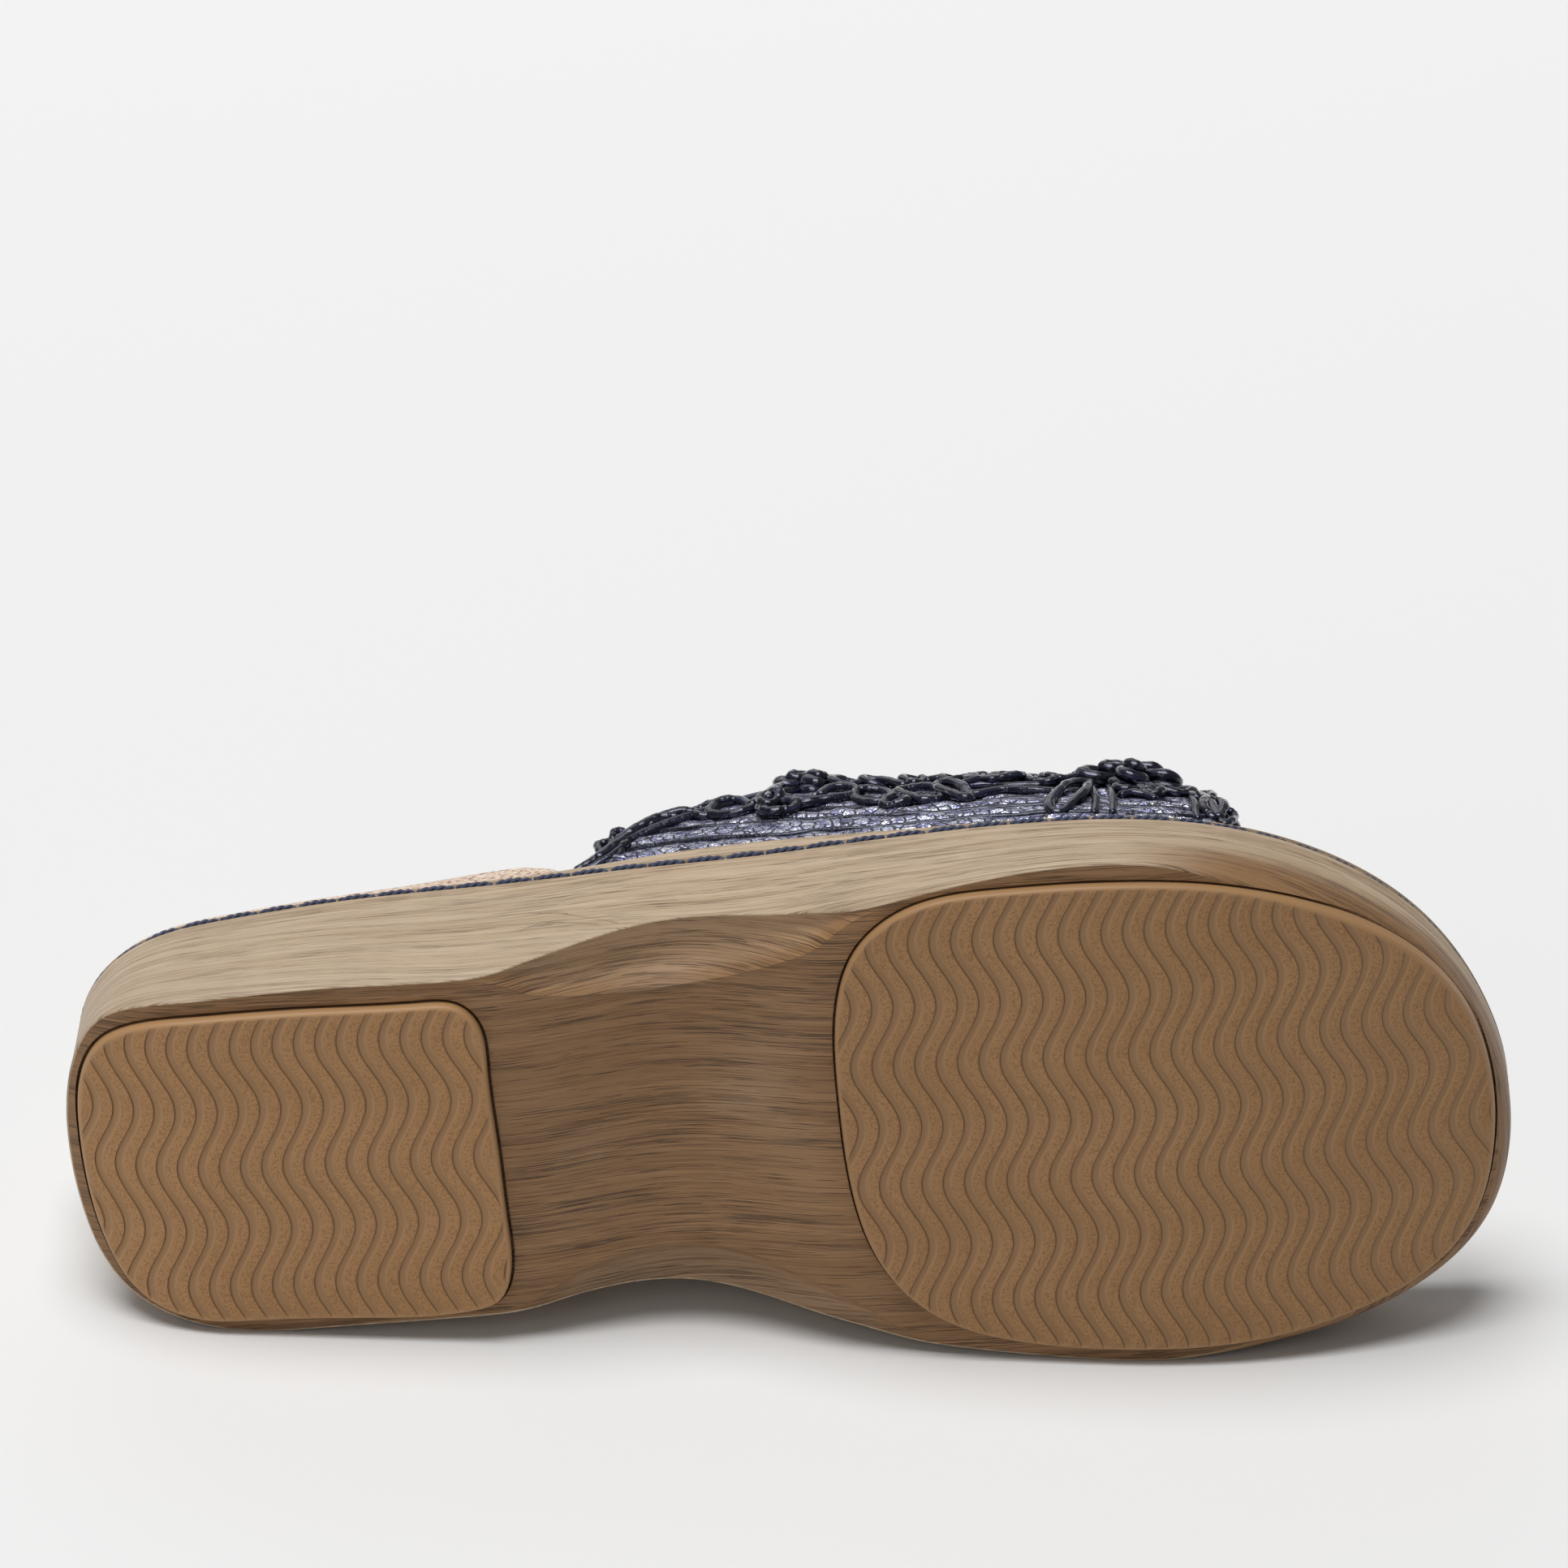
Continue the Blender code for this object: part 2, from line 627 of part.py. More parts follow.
midsole = make_midsole()
rubber = material("pad")
heel_pad, heel_recess = make_pad("heel_pad", HEEL_PAD, HEEL_PAD_FRONT_ROW, HEEL_PAD_SPINE, rubber)
forefoot_pad, forefoot_recess = make_pad(
    "forefoot_pad", FOREFOOT_PAD, FOREFOOT_PAD_FRONT_ROW, FOREFOOT_PAD_SPINE, rubber)
cut(midsole, heel_recess)
cut(midsole, forefoot_recess)
footbed = make_footbed()
upper = make_upper()
cord_leather = material("cord")
throat_cord = make_edge_cord("throat_cord", 0, cord_leather)
toe_cord = make_edge_cord("toe_cord", 1, cord_leather)
rosettes = [make_rosette(*row, cord_leather) for row in ROSETTES]
bpy.context.view_layer.update()
solids = [midsole, heel_pad, forefoot_pad, footbed, upper, throat_cord, toe_cord, *rosettes]
lay_down(solids)
bpy.context.view_layer.update()
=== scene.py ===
# %% [markdown]
# # A slide sandal, lying on its inner side
# The real shoe is a right foot slide: a moulded wooden-looking platform, two rubber tread pads let
# into its underside, a suede footbed, and one broad strap of crinkled leather strips covered with
# sewn cord scrolls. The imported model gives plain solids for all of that. Here each solid is replaced
# by a finer surface worked out with numpy, in the same place, and gets its finish.

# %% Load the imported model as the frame
import json
import math

import bmesh
import bpy
import numpy as np
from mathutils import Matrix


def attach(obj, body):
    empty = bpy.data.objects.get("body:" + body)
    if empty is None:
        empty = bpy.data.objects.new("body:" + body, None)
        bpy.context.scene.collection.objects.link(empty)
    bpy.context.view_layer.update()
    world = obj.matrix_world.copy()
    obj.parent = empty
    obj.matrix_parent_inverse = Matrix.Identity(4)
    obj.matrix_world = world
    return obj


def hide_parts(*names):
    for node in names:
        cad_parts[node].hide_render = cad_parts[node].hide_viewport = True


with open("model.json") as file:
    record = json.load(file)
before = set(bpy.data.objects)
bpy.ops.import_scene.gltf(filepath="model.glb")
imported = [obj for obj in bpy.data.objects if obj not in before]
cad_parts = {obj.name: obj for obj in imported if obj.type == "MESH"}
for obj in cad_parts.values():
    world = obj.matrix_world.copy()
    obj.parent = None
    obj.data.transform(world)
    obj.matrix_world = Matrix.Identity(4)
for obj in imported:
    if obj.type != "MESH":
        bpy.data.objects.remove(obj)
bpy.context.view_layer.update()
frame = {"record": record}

MM = 0.001

# %% [markdown]
# ## The shoe's standing frame
# A shoe is easiest to describe as it stands: x from heel to toe, y to the inner side, z up, all in
# millimetres. The model lies on its side, so every point has to be turned. The record holds two
# mounts on the tread with a known place along the shoe, and those give the turn without guessing.

# %% From standing millimetres to the lying shoe
HEEL_MOUNT_X = 48.0
TOE_TIP = (252.0, 15.0, 30.0)

mounts = {mount["name"]: mount for mount in frame["record"]["mounts"]}
heel_mount = np.array(mounts["heel_tread"]["pos_m"])
forefoot_mount = np.array(mounts["forefoot_tread"]["pos_m"])
ALONG = (forefoot_mount - heel_mount) / np.linalg.norm(forefoot_mount - heel_mount)
UP = -np.array(mounts["heel_tread"]["axis"])
STANDING = np.array((ALONG, np.cross(UP, ALONG), UP))
HEEL_END = heel_mount - HEEL_MOUNT_X * MM * ALONG


def to_row(points):
    """Heel end plus x along, y across and z up, turned from millimetres to metres."""
    return HEEL_END + MM * (np.asarray(points) @ STANDING)


print("toe tip lies at", np.round(to_row(TOE_TIP) / MM, 1), "mm")

# %% [markdown]
# ## The camera
# A long lens far away flattens the view, as a product photograph does. The place and turn were
# found by matching the sole's outline with the photograph: the camera stands in front of the tread
# and looks down on it by about 26 degrees.

# %% Camera at the photograph's angle
CAMERA_AT = (-16.72, -1418.88, 767.30)
CAMERA_TURN = (64.3907, -1.9175, 0.3764)
CAMERA_LENS = 205.06
CAMERA_SENSOR = 36.0
CAMERA_REACH = 20.0

camera_data = bpy.data.cameras.new("photo_camera")
camera_data.lens = CAMERA_LENS
camera_data.sensor_width = CAMERA_SENSOR
camera_data.clip_end = CAMERA_REACH
camera = bpy.data.objects.new("photo_camera", camera_data)
camera.location = np.array(CAMERA_AT) * MM
camera.rotation_euler = np.radians(CAMERA_TURN)
bpy.context.scene.collection.objects.link(camera)
bpy.context.scene.camera = camera
print("camera lens", CAMERA_LENS, "mm, at", CAMERA_AT)

# %% [markdown]
# ## From grids to meshes
# Every surface below is a grid of points. These helpers number the grid's quads, put points and
# quads into a mesh, and store named vectors on the face corners, which the materials read. Corner
# fields survive a Boolean cut, and fields on points don't.

# %% Mesh helpers
MERGE_WITHIN = 1e-7
ALL_SMOOTH = 180.0


def grid_quads(rows, columns, close_rows=False, close_columns=False):
    """Corner numbers of a grid's quads; a closed direction joins its end to its start."""
    row = np.arange(rows if close_rows else rows - 1)
    column = np.arange(columns if close_columns else columns - 1)
    a, b = (index.ravel() for index in np.meshgrid(row, column, indexing="ij"))
    c = (a + 1) % rows
    d = (b + 1) % columns
    return np.stack((a * columns + b, a * columns + d, c * columns + d, c * columns + b), axis=1)


def settle(mesh):
    """Merge the doubled points of poles and middle lines, and turn all faces outwards."""
    work = bmesh.new()
    work.from_mesh(mesh)
    bmesh.ops.remove_doubles(work, verts=work.verts, dist=MERGE_WITHIN)
    bmesh.ops.recalc_face_normals(work, faces=work.faces)
    work.to_mesh(mesh)
    work.free()


def new_object(name, points, faces, fields, sharp=ALL_SMOOTH):
    """A smooth object of faces over standing points; each field has one vector for each corner."""
    mesh = bpy.data.meshes.new(name)
    mesh.from_pydata(to_row(points), [], faces)
    for field, values in fields.items():
        layer = mesh.attributes.new(field, "FLOAT_VECTOR", "CORNER")
        layer.data.foreach_set("vector", np.ascontiguousarray(values, dtype=np.float32).ravel())
    settle(mesh)
    made = bpy.data.objects.new(name, mesh)
    bpy.context.scene.collection.objects.link(made)
    shade(made, sharp)
    return made


def shade(made, sharp):
    """Smooth shading, with edges kept crisp where faces meet at more than an angle in degrees."""
    made.data.shade_smooth()
    made.data.set_sharp_from_angle(angle=math.radians(sharp))


def carve(target, cutter, operation, sharp):
    """Cut the target's mesh with the cutter by an exact Boolean, apply it and drop the cutter."""
    tool = target.modifiers.new("carve", "BOOLEAN")
    tool.operation = operation
    tool.solver = "EXACT"
    tool.object = cutter
    graph = bpy.context.evaluated_depsgraph_get()
    cut = bpy.data.meshes.new_from_object(target.evaluated_get(graph))
    target.modifiers.clear()
    old = target.data
    target.data = cut
    bpy.data.meshes.remove(old)
    bpy.data.meshes.remove(cutter.data)
    shade(target, sharp)


def dress(piece, slot, finish, *nodes):
    """Give a piece its material, its body and the CAD nodes that it stands for; the slot is not used."""
    piece.data.materials.append(finish)
    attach(piece, "root")
    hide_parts(*nodes)
    places = np.empty(len(piece.data.vertices) * 3)
    piece.data.vertices.foreach_get("co", places)
    piece.data.calc_loop_triangles()
    lowest = places.reshape(-1, 3)[:, 2].min() / MM
    print(piece.name, len(piece.data.loop_triangles), "triangles, lowest point", round(lowest, 2), "mm")


# %% [markdown]
# ## Noise for shapes
# Hand-made things wander a little. A smooth noise on a lattice of seeded random numbers gives that
# wander, the same in each run, for a whole array of places at once.

# %% Smooth noise


def wander(a, b, seed):
    """From -1 to 1: random numbers at whole a and b, eased between them by 3t^2 - 2t^3."""
    size = 64
    lattice = np.random.default_rng(seed).uniform(-1, 1, (size, size))
    a, b = np.broadcast_arrays(a, b)
    low_a = np.floor(a).astype(int)
    low_b = np.floor(b).astype(int)
    ease_a = (a - low_a) ** 2 * (3 - 2 * (a - low_a))
    ease_b = (b - low_b) ** 2 * (3 - 2 * (b - low_b))
    near = lattice[low_a % size, low_b % size] * (1 - ease_b)
    near = near + lattice[low_a % size, (low_b + 1) % size] * ease_b
    far = lattice[(low_a + 1) % size, low_b % size] * (1 - ease_b)
    far = far + lattice[(low_a + 1) % size, (low_b + 1) % size] * ease_b
    return near * (1 - ease_a) + far * ease_a


# %% [markdown]
# ## Building materials
# A material is a small network that ends in one Principled shader. The helper makes a node, sets its
# inputs to numbers or links, and hands it back, so that a finish can be read from top to bottom.

# %% Material helper


class Finish:
    """A material under construction: its shader, and short ways to add the nodes used here."""

    def __init__(self, name, roughness, **constants):
        self.material = bpy.data.materials.new(name)
        self.material.use_nodes = True
        self.tree = self.material.node_tree
        self.shader = self.tree.nodes["Principled BSDF"]
        self.shader.inputs["Roughness"].default_value = roughness
        for socket, value in constants.items():
            self.shader.inputs[socket.replace("_", " ")].default_value = value

    def node(self, kind, inputs, **settings):
        """A node with its settings, and its inputs set to numbers or linked to outputs."""
        made = self.tree.nodes.new(kind)
        for setting, value in settings.items():
            setattr(made, setting, value)
        for socket, value in inputs.items():
            if isinstance(value, bpy.types.NodeSocket):
                self.tree.links.new(value, made.inputs[socket])
            else:
                made.inputs[socket].default_value = value
        return made

    def field(self, name):
        """The vector that the mesh stores at its corners under a name."""
        return self.node("ShaderNodeAttribute", {}, attribute_name=name).outputs["Vector"]

    def place(self):
        """Object coordinates, in metres."""
        return self.node("ShaderNodeTexCoord", {}).outputs["Object"]

    def part(self, vector, axis):
        """One component of a vector."""
        return self.node("ShaderNodeSeparateXYZ", {"Vector": vector}).outputs[axis]

    def scaled(self, vector, sizes):
        """The vector divided by a size along each axis."""
        factors = tuple(1 / size for size in sizes)
        return self.join("MULTIPLY", vector, factors)

    def join(self, operation, a, b):
        """Two vectors put together."""
        return self.node("ShaderNodeVectorMath", {0: a, 1: b}, operation=operation).outputs[0]

    def noise(self, vector, detail=2.0, roughness=0.5):
        """Fractal noise, about 0.5 on average."""
        inputs = {"Vector": vector, "Scale": 1.0, "Detail": detail, "Roughness": roughness}
        return self.node("ShaderNodeTexNoise", inputs).outputs[0]

    def cells(self, vector):
        """Distance to the border between random cells."""
        inputs = {"Vector": vector, "Scale": 1.0}
        made = self.node("ShaderNodeTexVoronoi", inputs, feature="DISTANCE_TO_EDGE")
        return made.outputs["Distance"]

    def math(self, operation, a, b=0.0):
        """Two numbers put together."""
        return self.node("ShaderNodeMath", {0: a, 1: b}, operation=operation).outputs[0]

    def between(self, value, start, end, low=0.0, high=1.0):
        """Eased from low at start to high at end."""
        inputs = {"Value": value, "From Min": start, "From Max": end, "To Min": low, "To Max": high}
        made = self.node("ShaderNodeMapRange", inputs, interpolation_type="SMOOTHSTEP")
        return made.outputs["Result"]

    def mix(self, share, first, second):
        """A colour between two colours, each given as linear red, green and blue or as a link."""
        inputs = {0: share, 6: first, 7: second}
        for key in (6, 7):
            if isinstance(inputs[key], tuple):
                inputs[key] = (*inputs[key], 1.0)
        return self.node("ShaderNodeMix", inputs, data_type="RGBA").outputs[2]

    def relief(self, height, depth):
        """A bumped normal: height 0 to 1 stands for a depth in millimetres."""
        inputs = {"Height": height, "Distance": depth * MM, "Strength": 1.0}
        return self.node("ShaderNodeBump", inputs).outputs[0]

    def scratch(self, place, start, end, width):
        """1 along the straight line between two places, fading to 0 at a width from it."""
        along = tuple(float(value) for value in np.subtract(end, start))
        first = tuple(float(value) for value in start)
        gone = self.join("SUBTRACT", place, first)
        run = self.node("ShaderNodeVectorMath", {0: gone, 1: along}, operation="DOT_PRODUCT").outputs["Value"]
        ratio = self.math("DIVIDE", run, math.hypot(*along) ** 2)
        share = self.node("ShaderNodeClamp", {0: ratio}).outputs[0]
        near = self.node("ShaderNodeVectorMath", {0: along, "Scale": share}, operation="SCALE").outputs[0]
        apart = self.node("ShaderNodeVectorMath", {0: gone, 1: near}, operation="DISTANCE").outputs["Value"]
        core = 0.35 * width
        return self.between(apart, width, core)

    def done(self, **links):
        """Link the named shader inputs, with _ for a space, and give the material back."""
        for socket, value in links.items():
            self.tree.links.new(value, self.shader.inputs[socket.replace("_", " ")])
        return self.material


# %% [markdown]
# ## The platform's lines
# A last maker draws a sole from above and from the side. The table gives the sole from above: the
# wall's top, its foot, and the cove carved under it, and a closed spline runs through the rows. From
# the side there are three curves: tread, arched underside and rim.

# %% Sizes of the platform
GAP = 0.35
PAD_PROUD = 2.0
PAD_THICK = 3.7
LIP_WIDTH = 1.2
LIP_ROUND = 0.5
SEAT_DEPTH = 6.0
HEEL_CURVE_START = 26.5
HEEL_CURVE = 0.013
TOE_CURVE_START = 179.0
TOE_CURVE = 0.0039
ARCH_START = 74.0
ARCH_END = 138.0
ARCH_RISE = 6.5
RIM_HEIGHT_DEGREE = 5
RIM_HEIGHT = (  # x, z
    (0, 46.0),
    (35, 45.0),
    (65, 42.5),
    (95, 37.5),
    (125, 32.0),
    (155, 28.0),
    (180, 27.0),
    (205, 28.5),
    (230, 32.5),
    (252, 38.0),
)
SOLE_STATIONS = (  # rim_x, rim_y, edge_x, edge_y, cove width, cove rise
    (-1.4, 1.0, -0.8, 0.5, 1.2, 0.8),
    (2.8, -14.9, 1.9, -16.6, 1.2, 0.8),
    (11.5, -21.9, 8.3, -25.6, 1.2, 0.8),
    (27.0, -26.0, 26.0, -29.5, 1.2, 0.8),
    (50.0, -29.4, 50.0, -30.7, 1.2, 0.8),
    (72.0, -32.0, 72.0, -31.0, 2.4, 1.4),
    (90.0, -34.9, 90.0, -33.4, 8.5, 3.4),
    (108.0, -38.5, 108.0, -35.4, 10.5, 5.0),
    (128.0, -41.4, 128.0, -37.6, 6.5, 4.4),
    (148.0, -43.3, 148.0, -41.8, 1.7, 1.6),
    (172.0, -44.8, 172.0, -45.9, 1.2, 0.8),
    (198.0, -42.9, 198.0, -44.3, 1.2, 0.8),
    (219.6, -35.1, 219.6, -35.1, 1.2, 0.8),
    (237.9, -20.5, 238.2, -19.9, 1.0, 0.8),
    (248.4, -3.0, 248.3, -3.0, 0.9, 0.8),
    (252.6, 15.0, 252.4, 15.0, 0.9, 0.8),
    (248.3, 32.6, 248.5, 33.6, 1.0, 0.8),
    (234.4, 42.6, 235.2, 44.2, 1.2, 0.8),
    (210.0, 47.9, 210.0, 49.7, 1.2, 0.8),
    (186.0, 47.7, 186.0, 49.5, 1.2, 0.8),
    (158.0, 44.6, 158.0, 45.8, 1.4, 1.2),
    (134.0, 42.0, 134.0, 40.8, 6.0, 3.6),
    (110.0, 37.8, 110.0, 35.2, 10.0, 5.0),
    (90.0, 34.2, 90.0, 33.2, 6.5, 3.2),
    (72.0, 32.6, 72.0, 34.0, 2.2, 1.2),
    (45.0, 31.6, 45.0, 34.8, 1.2, 0.8),
    (23.0, 29.4, 22.0, 33.6, 1.2, 0.8),
    (11.0, 23.4, 8.0, 27.4, 1.2, 0.8),
    (3.0, 14.0, 1.4, 16.0, 1.2, 0.8),
)
SOLE_TOE_ROW = 15
SOLE_SPINE = (24.0, 214.0)

# %% Curves through the tables


def closed_spline(table, turn_row, per_side):
    """Periodic cubic spline through the table's rows, by chord length of the first two columns.

    Gives per_side rows from the first row to turn_row and per_side more back to the first.
    """
    rows = np.array(table, float)
    count = len(rows)
    step = np.linalg.norm(np.diff(rows[:, :2], axis=0, append=rows[:1, :2]), axis=1)
    following = np.roll(np.arange(count), -1)
    before = np.roll(step, 1)
    slope = (rows[following] - rows) / step[:, None]
    system = np.diag(2 * (before + step))
    system[np.arange(count), np.arange(count) - 1] += before
    system[np.arange(count), following] += step
    bend = np.linalg.solve(system, 6 * (slope - np.roll(slope, 1, axis=0)))
    knots = np.concatenate(([0.0], np.cumsum(step)))
    out = np.linspace(0, knots[turn_row], per_side, endpoint=False)
    home = np.linspace(knots[turn_row], knots[-1], per_side, endpoint=False)
    along = np.concatenate((out, home))
    left = np.searchsorted(knots, along, side="right") - 1
    right = following[left]
    share = ((along - knots[left]) / step[left])[:, None]
    rest = 1 - share
    curve = (rest ** 3 - rest) * bend[left] + (share ** 3 - share) * bend[right]
    return rest * rows[left] + share * rows[right] + curve * (step[left] ** 2)[:, None] / 6


def inward(loop):
    """Unit normal in plan, to the left of the way round, which is inwards."""
    tangent = np.roll(loop[:, :2], -1, axis=0) - np.roll(loop[:, :2], 1, axis=0)
    tangent /= np.linalg.norm(tangent, axis=1)[:, None]
    return np.column_stack((-tangent[:, 1], tangent[:, 0]))


def inset(loop, distance):
    """The loop's x and y moved inwards by a distance, or one distance for each point."""
    return loop[:, :2] + inward(loop) * np.reshape(distance, (-1, 1))


def spine(loop, ends):
    """The middle line of a loop: each point is shared with its twin on the other side."""
    twin = np.roll(loop[::-1, :2], 1, axis=0)
    middle = (loop[:, :2] + twin) / 2
    along = middle[:, 0]
    share = (along - along.min()) / np.ptp(along)
    middle[:, 0] = ends[0] + share * (ends[1] - ends[0])
    return middle


def towards(middle, loop, share):
    """A loop that has gone a share of the way from the middle line to the outer loop."""
    return middle + share * (loop[:, :2] - middle)


def ring(plan, height):
    """Plan points with their heights."""
    return np.column_stack((plan, np.broadcast_to(height, len(plan))))


def smooth_step(value, start, end):
    """From 0 at start to 1 at end, level at both."""
    share = np.clip((value - start) / (end - start), 0, 1)
    return share * share * (3 - 2 * share)


def tread_z(x):
    """Underside of the pads: flat, curling up at the heel's back and at the toe."""
    heel = HEEL_CURVE * np.clip(HEEL_CURVE_START - x, 0, None) ** 2
    toe = TOE_CURVE * np.clip(x - TOE_CURVE_START, 0, None) ** 2
    return heel + toe


def bottom_z(x):
    """Underside of the platform: above the tread by the pads' height, arched at the waist."""
    share = np.clip((x - ARCH_START) / (ARCH_END - ARCH_START), 0, 1)
    return tread_z(x) + PAD_PROUD + ARCH_RISE * np.sin(math.pi * share) ** 2


RIM_CURVE = np.polyfit(*np.array(RIM_HEIGHT).T, RIM_HEIGHT_DEGREE)


def rim_z(x):
    """Top of the rim, a smooth curve through the table."""
    return np.polyval(RIM_CURVE, x)


SIDE_POINTS = 360
sole = closed_spline(SOLE_STATIONS, SOLE_TOE_ROW, SIDE_POINTS)
rim = sole[:, :2]
edge = sole[:, 2:4]
print("rim line", len(rim), "points,", round(np.ptp(rim[:, 0]), 1), "mm long")

# %% [markdown]
# ## The platform
# The real platform is foam, moulded with a wood grain and a thread channel near its top. It is built
# as rings from the middle line of the underside, out through the cove, up the wall with the thread
# channel pressed into it, over the lip and down into the seat. A Subdivision cage would round off the
# crisp foot of the wall, so the rings are computed finely instead. Only round the toe the foot is
# bevelled, and there the underside's dark tone, which is painted shade, goes on up the wall and fades
# with the height.

# %% Rings of the platform
THREAD_DEPTH_ENDS = 1.35
THREAD_DEPTH_WAIST = 2.75
THREAD_WAIST = 118.0
THREAD_SPREAD = 30.0
CHANNEL_HALF = 0.72
CHANNEL_DEPTH = 0.80
FOOT_ROUND = 0.35
FOOT_RINGS = 8
TOE_FOOT = (2.6, 6.0)
TOE_FOOT_FROM = (186.0, 214.0)
# Round the toe the underside's painted shade goes up the wall: its strength, where along the shoe, and the
# heights where it fades out.
TOE_SHADE = 0.95
TOE_SHADE_FROM = (182.0, 206.0)
TOE_SHADE_HEIGHT = (5.5, 13.0)
# How much weaker the underside's painted shade is on the cove's ledge, which faces the light: painted light.
COVE_LEDGE_LIGHT = 0.25
COVE_LEAST = 0.6
COVE_STEP = 0.65
CARVED_FROM = (2.0, 6.0)
LEDGE_HEIGHT = (0.0, 3.0)
CHANNEL_SQUARE = 0.7
LEVEL_RINGS = 15
COVE_RINGS = 13
WALL_RINGS = 20
CHANNEL_RINGS = 9
LIP_RINGS = 6
PLATFORM_CRISP = 35.0


def thread_drop(x):
    """How far the thread lies below the rim: a little all round, more beside the strap."""
    return THREAD_DEPTH_ENDS + THREAD_DEPTH_WAIST * np.exp(-((x - THREAD_WAIST) / THREAD_SPREAD) ** 2)


carved = smooth_step(sole[:, 4], *CARVED_FROM)
toe_share = smooth_step(edge[:, 0], *TOE_FOOT_FROM)
foot_in = FOOT_ROUND + (TOE_FOOT[0] - FOOT_ROUND) * toe_share
foot_rise = FOOT_ROUND + (TOE_FOOT[1] - FOOT_ROUND) * toe_share
plain_width = foot_in + COVE_LEAST
cove_width = plain_width + carved * (sole[:, 4] - plain_width)
cove_rise = carved * sole[:, 5]
foot_z = bottom_z(edge[:, 0]) + cove_rise + foot_rise
top_z = rim_z(rim[:, 0])


def wall_point(drop, pressed=0.0):
    """Wall at a drop below the rim: straight from foot to rim, pressed inwards by a depth."""
    share = (top_z - drop - foot_z) / (top_z - LIP_ROUND - foot_z)
    plan = edge + share[:, None] * (rim - edge) + inward(rim) * np.reshape(pressed, (-1, 1))
    return ring(plan, top_z - drop)


def underside_rings():
    """From the middle line outwards: level to the crease, then up the cove's step to its ledge."""
    middle = spine(edge, SOLE_SPINE)
    crease = inset(edge, cove_width)
    plans = [towards(middle, crease, share) for share in np.linspace(0, 1, LEVEL_RINGS)]
    rings = [ring(plan, bottom_z(plan[:, 0])) for plan in plans]
    for share in np.linspace(0, 1, COVE_RINGS)[1:]:
        plan = inset(edge, foot_in + (cove_width - foot_in) * (1 - share))
        lift = cove_rise * math.sin(math.pi / 2 * min(1.0, share / COVE_STEP))
        rings.append(ring(plan, bottom_z(plan[:, 0]) + lift))
    return rings


def wall_rings():
    """Round the foot in a quarter ellipse, up the wall with its channel, round the lip to the seat."""
    rings = []
    for turn in np.linspace(0, math.pi / 2, FOOT_RINGS + 1)[1:]:
        plan = inset(edge, foot_in * (1 - math.sin(turn)))
        rings.append(ring(plan, bottom_z(plan[:, 0]) + cove_rise + foot_rise * (1 - math.cos(turn))))
    drop = thread_drop(rim[:, 0])
    below = top_z - foot_z - drop - CHANNEL_HALF
    shares = np.linspace(1, 0, WALL_RINGS)[1:]
    rings += [wall_point(drop + CHANNEL_HALF + below * share) for share in shares]
    for turn in np.linspace(-1, 1, CHANNEL_RINGS)[1:]:
        depth = CHANNEL_DEPTH * math.cos(math.pi / 2 * turn) ** CHANNEL_SQUARE if abs(turn) < 1 else 0.0
        rings.append(wall_point(drop - CHANNEL_HALF * turn, depth))
    rings.append(wall_point((drop - CHANNEL_HALF + LIP_ROUND) / 2))
    for turn in np.linspace(0, math.pi / 2, LIP_RINGS):
        plan = inset(rim, LIP_ROUND * (1 - math.cos(turn)))
        rings.append(ring(plan, top_z - LIP_ROUND * (1 - math.sin(turn))))
    inner = inset(rim, LIP_WIDTH)
    rings.append(ring(inner, top_z))
    middle = spine(edge, SOLE_SPINE)
    for share in (1.0, 0.5, 0.0):
        plan = towards(middle, inner, share)
        rings.append(ring(plan, rim_z(plan[:, 0]) - SEAT_DEPTH))
    return rings


under_rings = underside_rings()
side_rings = wall_rings()
print(len(under_rings), "rings under the platform,", len(side_rings), "up its wall")

# %% [markdown]
# ## Where the grain runs
# Moulded grain runs lengthwise under the shoe and follows the wall round the toe and heel. Each
# corner stores a place in the grain: two numbers along the streaks and one across. Along the wall the
# first two go round a circle as long as the wall, so the pattern closes on itself with no seam.

# %% The platform's mesh and its grain field
UNDERSIDE_APART = 500.0


def wall_grain(rings):
    """Place in the grain on the wall: a circle by the length run along the foot, and the drop."""
    step = np.linalg.norm(np.roll(edge, -1, axis=0) - edge, axis=1)
    run = np.cumsum(step) - step
    angle = run / step.sum() * math.tau
    radius = step.sum() / math.tau
    circle = np.column_stack((radius * np.cos(angle), radius * np.sin(angle)))
    heights = rings[..., 2:] - top_z[None, :, None]
    return np.concatenate((np.broadcast_to(circle, (*rings.shape[:2], 2)), heights), axis=-1)


def flat_grain(points):
    """Place in the grain on the underside: lengthwise x, a number far from the wall's, and y."""
    apart = np.full(points.shape[:-1], UNDERSIDE_APART)
    return np.stack((points[..., 0], apart, points[..., 1]), axis=-1)


